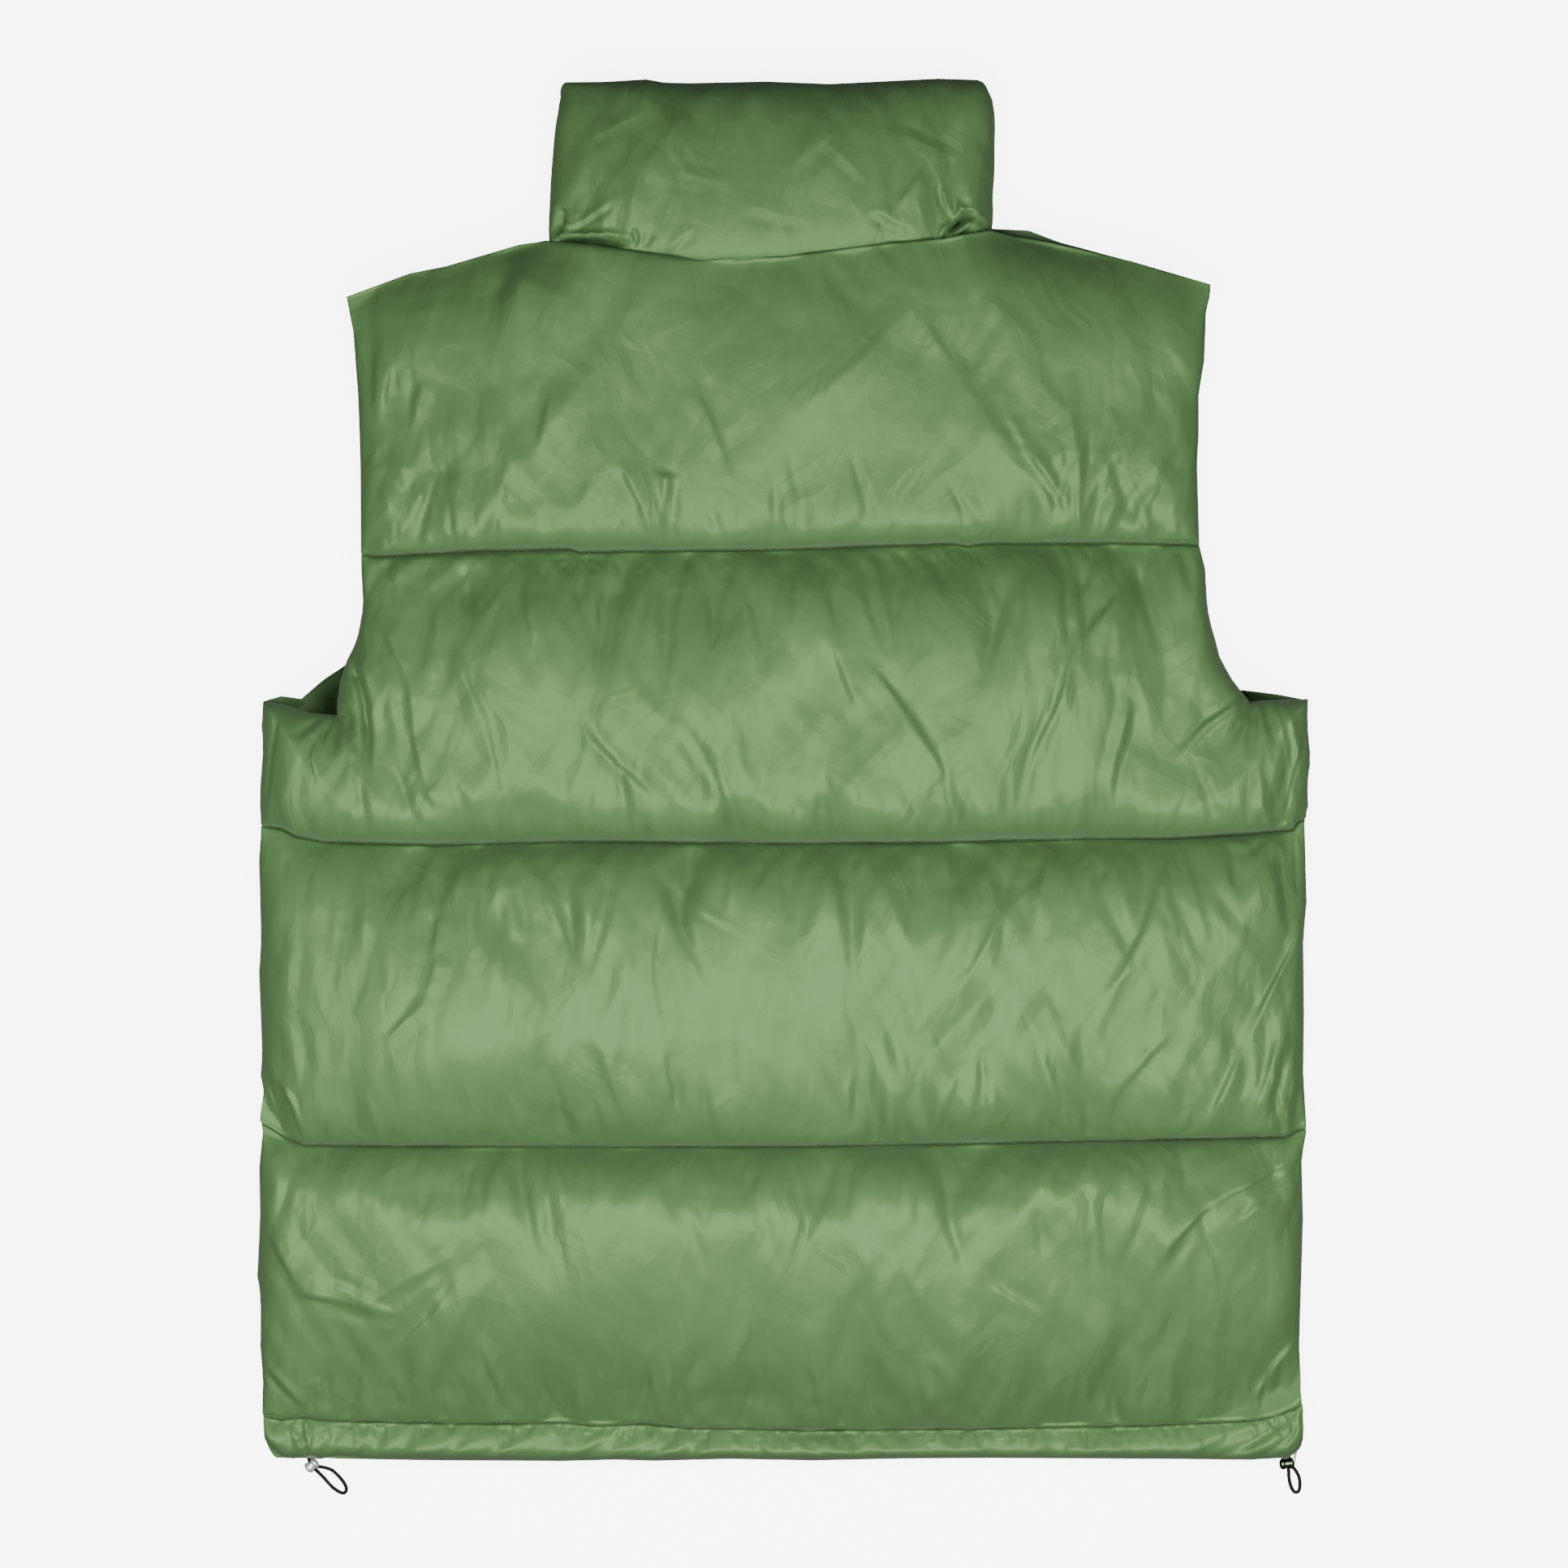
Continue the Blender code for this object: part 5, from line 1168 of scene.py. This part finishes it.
def stitches(name, curves, above):
    """Stitches along curves of points, a little above or below them: each is a bar of four
    four-pointed rings, laid along its curve."""
    rows = []
    for curve in curves:
        along = lengths(curve)
        starts = np.arange(1.5, along[-1] - 3, STITCH_PITCH)
        ends = np.stack([starts, starts + STITCH_LONG], -1)
        rows.append(np.stack([np.interp(ends, along, curve[:, k]) for k in range(3)], -1))
    at = np.concatenate(rows) + (0, 0, above)
    way = at[:, 1] - at[:, 0]
    way /= np.linalg.norm(way, axis=-1, keepdims=True)
    side = np.stack([-way[:, 1], way[:, 0], np.zeros(len(way))], -1)
    up = np.cross(way, side)
    ring = []
    for end, inset, size in ((0, 0.0, 0.45), (0, 0.3, 1.0), (1, -0.3, 1.0), (1, 0.0, 0.45)):
        for a, b in ((1, 0), (0, 1), (-1, 0), (0, -1)):
            ring.append(at[:, end] + way * inset + (side * a + up * b) * size * STITCH_THICK / 2)
    faces = ring_mesh(np.zeros((4, 4, 3)))[1]
    mesh_object(name, *copies(np.stack(ring, 1), faces), thread, "nylon")


back_rows = []
for r in SEAM_ROWS[:4]:
    own = np.abs(places) < (239.5 if r > UNDERARM_ROW else 289)
    level = lie(back_y[r][own]) + WALL - 0.9
    back_rows.append(np.stack([back_x[r][own], back_y[r][own] + 0.35, level], -1))
stitches("back_stitches", back_rows, 0.0)
for name, rows in front_seams.items():
    stitches(f"front_{name}_stitches", rows, -0.15)

# ---- Zip -------------------------------------------------------------------------------------
# A moulded plastic zip, closed, between the fronts: woven tapes with a thick inner edge, single
# moulded teeth that grip it by turns from each side, a retainer at the hem and a slider at the
# collar whose pull tab hangs from its bridge and turns on it.
ZIP_DEPTH = 2.4
TOOTH_PITCH = 2.9
TAPE_POINTS = 188
# X from the middle, half length and half thickness of a tooth, from its foot to its head
TOOTH = (
    (3.8, 0.90, 0.90), (3.4, 1.05, 1.30), (1.6, 1.05, 1.30), (0.9, 0.50, 1.20),
    (0.2, 0.62, 1.15), (-0.6, 0.60, 1.00), (-0.9, 0.40, 0.60),
)
# A tooth's section, as shares of its half length and half thickness
OCTAGON = (
    (1, 0.6), (0.6, 1), (-0.6, 1), (-1, 0.6), (-1, -0.6), (-0.6, -1), (0.6, -1), (1, -0.6),
)
# X from the middle and Z of the tape's outline, round from its outer edge
TAPE = (
    (7.70, 0.0), (7.60, 0.32), (7.2, 0.4), (4.7, 0.4), (4.4, 0.62), (3.9, 0.75), (3.5, 0.55),
    (3.32, 0.0), (3.5, -0.55), (3.9, -0.75), (4.4, -0.62), (4.7, -0.4), (7.2, -0.4), (7.60, -0.32),
)
tape_cloth = grained(
    "zip_tape_weave", (0.075, 0.145, 0.052), (0.7, 0.0, 0.25),
    ("TexWave", "Fac", {"Scale": 420.0, "Distortion": 1.2, "Detail": 1.0}),
    (0.038, 0.078, 0.028), (0.075, 0.145, 0.052), 0.5, 0.0002, bands_direction="DIAGONAL",
)
plastic = grained(
    "zip_plastic", (0.042, 0.076, 0.034), (0.42,),
    ("TexNoise", "Fac", {"Scale": 1200.0, "Detail": 3.0}),
    (0.028, 0.054, 0.023), (0.042, 0.076, 0.034), 0.2, 0.0001,
)
metal = grained(
    "zip_metal", (0.68, 0.70, 0.67), (0.28, 1.0),
    ("TexNoise", "Fac", {"Scale": 900.0, "Detail": 3.0}),
    (0.50, 0.52, 0.50), (0.68, 0.70, 0.67), 0.2, 0.0001,
)


def zip_level(at):
    """Height of the zip's middle."""
    return lie(at) - ZIP_DEPTH


def many(meshes):
    """Several meshes' points and faces as one mesh's."""
    points, faces, count = [], [], 0
    for own_points, own_faces in meshes:
        points.append(own_points)
        faces += [[i + count for i in face] for face in own_faces]
        count += len(own_points)
    return np.vstack(points), faces


def soft_box(half_x, half_y, power=5.0, around=32):
    """An outline between an ellipse and a box: |x / a| ** power + |y / b| ** power = 1."""
    t = np.arange(around) / around * 2 * math.pi
    c, s = np.cos(t), np.sin(t)
    size = (np.abs(c) ** power + np.abs(s) ** power) ** (-1 / power)
    return np.stack([half_x * c * size, half_y * s * size], -1)


def plate(outline, low, high, bevel, place):
    """A flat plate at a place, its outline drawn in by the bevel on both faces."""
    outline = np.array(outline, dtype=float)
    middle = (outline.max(axis=0) + outline.min(axis=0)) / 2
    half = (outline.max(axis=0) - outline.min(axis=0)) / 2
    small = middle + (outline - middle) * (1 - bevel / half)
    levels = (small, low), (outline, low + bevel), (outline, high - bevel), (small, high)
    return ring_mesh([
        np.column_stack([flat, np.full(len(flat), level)]) + place for flat, level in levels
    ])


low, high = (corner[1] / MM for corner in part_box("zip_tape_left"))
at = np.linspace(low, high, TAPE_POINTS)[:, None]
across, above = np.array(TAPE).T
for name, sign in (("left", -1), ("right", 1)):
    ripple = 0.06 * np.sin(at * 2.1 + sign)
    rings = np.stack([sign * across + 0 * at, at + 0 * across, zip_level(at) + above + ripple], -1)
    woven = f"zip_tape_{name}_woven"
    mesh_object(woven, *ring_mesh(rings[:, ::-sign]), tape_cloth, "zip_tape", f"zip_tape_{name}")

low, high = (corner[1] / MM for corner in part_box("zip_chain"))
sides = []
for sign, start in ((-1, 0.0), (1, TOOTH_PITCH / 2)):
    spots = np.arange(low + 1.2 + start, high - 1.1, TOOTH_PITCH)
    points, faces = ring_mesh([
        [(sign * x, half_y * share_y, half_z * share_z) for share_y, share_z in OCTAGON[::sign]]
        for x, half_y, half_z in TOOTH
    ])
    shift = np.stack([0 * spots, spots, zip_level(spots)], -1)
    sides.append(copies(points[None] + shift[:, None], faces))
mesh_object("zip_teeth", *many(sides), plastic, "zip_teeth", "zip_chain")

low, high = (corner[1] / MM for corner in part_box("zip_retainer"))
middle = (low + high) / 2
tilt = (zip_level(high) - zip_level(low)) / (high - low)
points, faces = many([
    plate(soft_box(half_x, half_y), -half_z, half_z, 0.35, (x, at_y, 0))
    for x, half_x, at_y, half_y, half_z in (
        (-1.65, 1.32, middle, 4.4, 1.35), (1.65, 1.32, middle, 4.4, 1.25),
        (0, 2.95, low + 2.1, 2.0, 1.65),
    )
])
points[:, 2] += zip_level(middle) + tilt * (points[:, 1] - middle)
mesh_object("zip_retainer_moulded", points, faces, plastic, "zip_teeth", "zip_retainer")

# The slider: two plates with wide shoulders and a narrow tail, joined by a wedge, and a bridge.
slider_low, slider_high = np.array(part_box("zip_slider")) / MM
middle = (slider_low[1] + slider_high[1]) / 2
half = (slider_high[1] - slider_low[1]) / 2
face, roof = slider_low[2] + 3.4, slider_high[2]
outline = soft_box(4.6, half, 4.0)
outline[:, 0] *= np.interp(outline[:, 1], (-half, 0, half), (0.80, 0.86, 1.0))
wedge = soft_box(1.5, 3.2, 2.5)
wedge[:, 0] *= np.interp(wedge[:, 1], (-3.2, 3.2), (0.4, 1.0))
parts = [
    plate(outline, face, face + 1.5, 0.35, (0, middle, 0)),
    plate(outline, roof - 1.5, roof, 0.35, (0, middle, 0)),
    plate(wedge, face + 1.2, roof - 1.2, 0.1, (0, middle + half - 3.4, 0)),
]
bend = np.linspace(0, math.pi, 15)
reach = np.sign(np.cos(bend)) * np.abs(np.cos(bend)) ** 0.55 * 3.35
drop = np.abs(np.sin(bend)) ** 0.55 * 2.75
line = np.stack([0 * bend, middle + reach, face + 0.6 - drop], -1)
way = np.gradient(line, axis=0)
way /= np.linalg.norm(way, axis=1, keepdims=True)
flat = np.array([(1.0, 0, 0)])
lift = np.cross(way, flat)
t = (np.arange(12) / 12 * 2 * math.pi)[None, :, None]
rings = line[:, None] + 1.35 * np.cos(t) * flat[None] + 0.62 * np.sin(t) * lift[:, None]
parts.append(ring_mesh(rings))
mesh_object("zip_slider_cast", *many(parts), metal, "metal", "zip_slider")

# The pull tab: one cast loop whose far side is a long flat plate, hung on the bridge.
PULL_PIVOT = (0.0, 360.7, 17.776)
PULL_HANG = math.radians(52.0)
outer = soft_box(3.6, 10.8, 6.0) + (0, -10.2)
window = soft_box(1.9, 2.3, 3.0) + (0, -3.0)
# The loop's section: share of the way from the window to the outline, and Z
section = (
    (1.0, -0.45), (1.0, 0.45), (0.9, 0.75), (0.1, 0.75), (0.0, 0.45), (0.0, -0.45), (0.1, -0.75),
    (0.9, -0.75),
)
loops = []
for share, level in section:
    flat = window + (outer - window) * share
    thin = np.interp(flat[:, 1], (-1.2, -0.2), (1.0, 0.8))
    loops.append(np.column_stack([flat, level * thin]))
loops = np.array(loops)
index = np.arange(loops.size // 3).reshape(loops.shape[:2])
right, under = np.roll(index, -1, axis=1), np.roll(index, -1, axis=0)
quads = np.stack([index, right, np.roll(right, -1, axis=0), under], -1).reshape(-1, 4)
points = loops.reshape(-1, 3)
c, s = math.cos(PULL_HANG), math.sin(PULL_HANG)
points = points @ np.array(((1, 0, 0), (0, c, s), (0, -s, c))) + PULL_PIVOT
mesh_object("zip_pull_tab", points, quads.tolist(), metal, "metal", "zip_pull", "pull")

# ---- Floor and light -------------------------------------------------------------------------
# A plain pale floor under the vest, one large soft light straight above it and a dim white room.
FLOOR_HALF, FLOOR_DOWN = 6.0, 0.0004  # in metres
ground, tree, shader = principled("pale_floor", (0.86, 0.86, 0.86), 0.9)
shader.inputs["Emission Color"].default_value = (1.0, 1.0, 1.0, 1.0)
shader.inputs["Emission Strength"].default_value = 6.0
floor = placed("floor", bpy.data.meshes.new("floor"))
ends = ((-1, -1), (1, -1), (1, 1), (-1, 1))
corners = [(a * FLOOR_HALF, b * FLOOR_HALF, -FLOOR_DOWN) for a, b in ends]
floor.data.from_pydata(corners, [], [(0, 1, 2, 3)])
floor.data.materials.append(ground)
floor.visible_diffuse = False
floor.visible_glossy = False

lamp = bpy.data.lights.new("light_above", "AREA")
lamp.shape = "RECTANGLE"
lamp.size, lamp.size_y = 1.7, 0.9
lamp.energy = 37
above = placed("light_above", lamp)
above.location = (0.0, -0.23, 1.0)
above.visible_camera = False

world = bpy.data.worlds.new("studio")
world.use_nodes = True
backdrop = world.node_tree.nodes["Background"].inputs
backdrop["Color"].default_value = (1, 1, 1, 1)
backdrop["Strength"].default_value = 0.10
bpy.context.scene.world = world
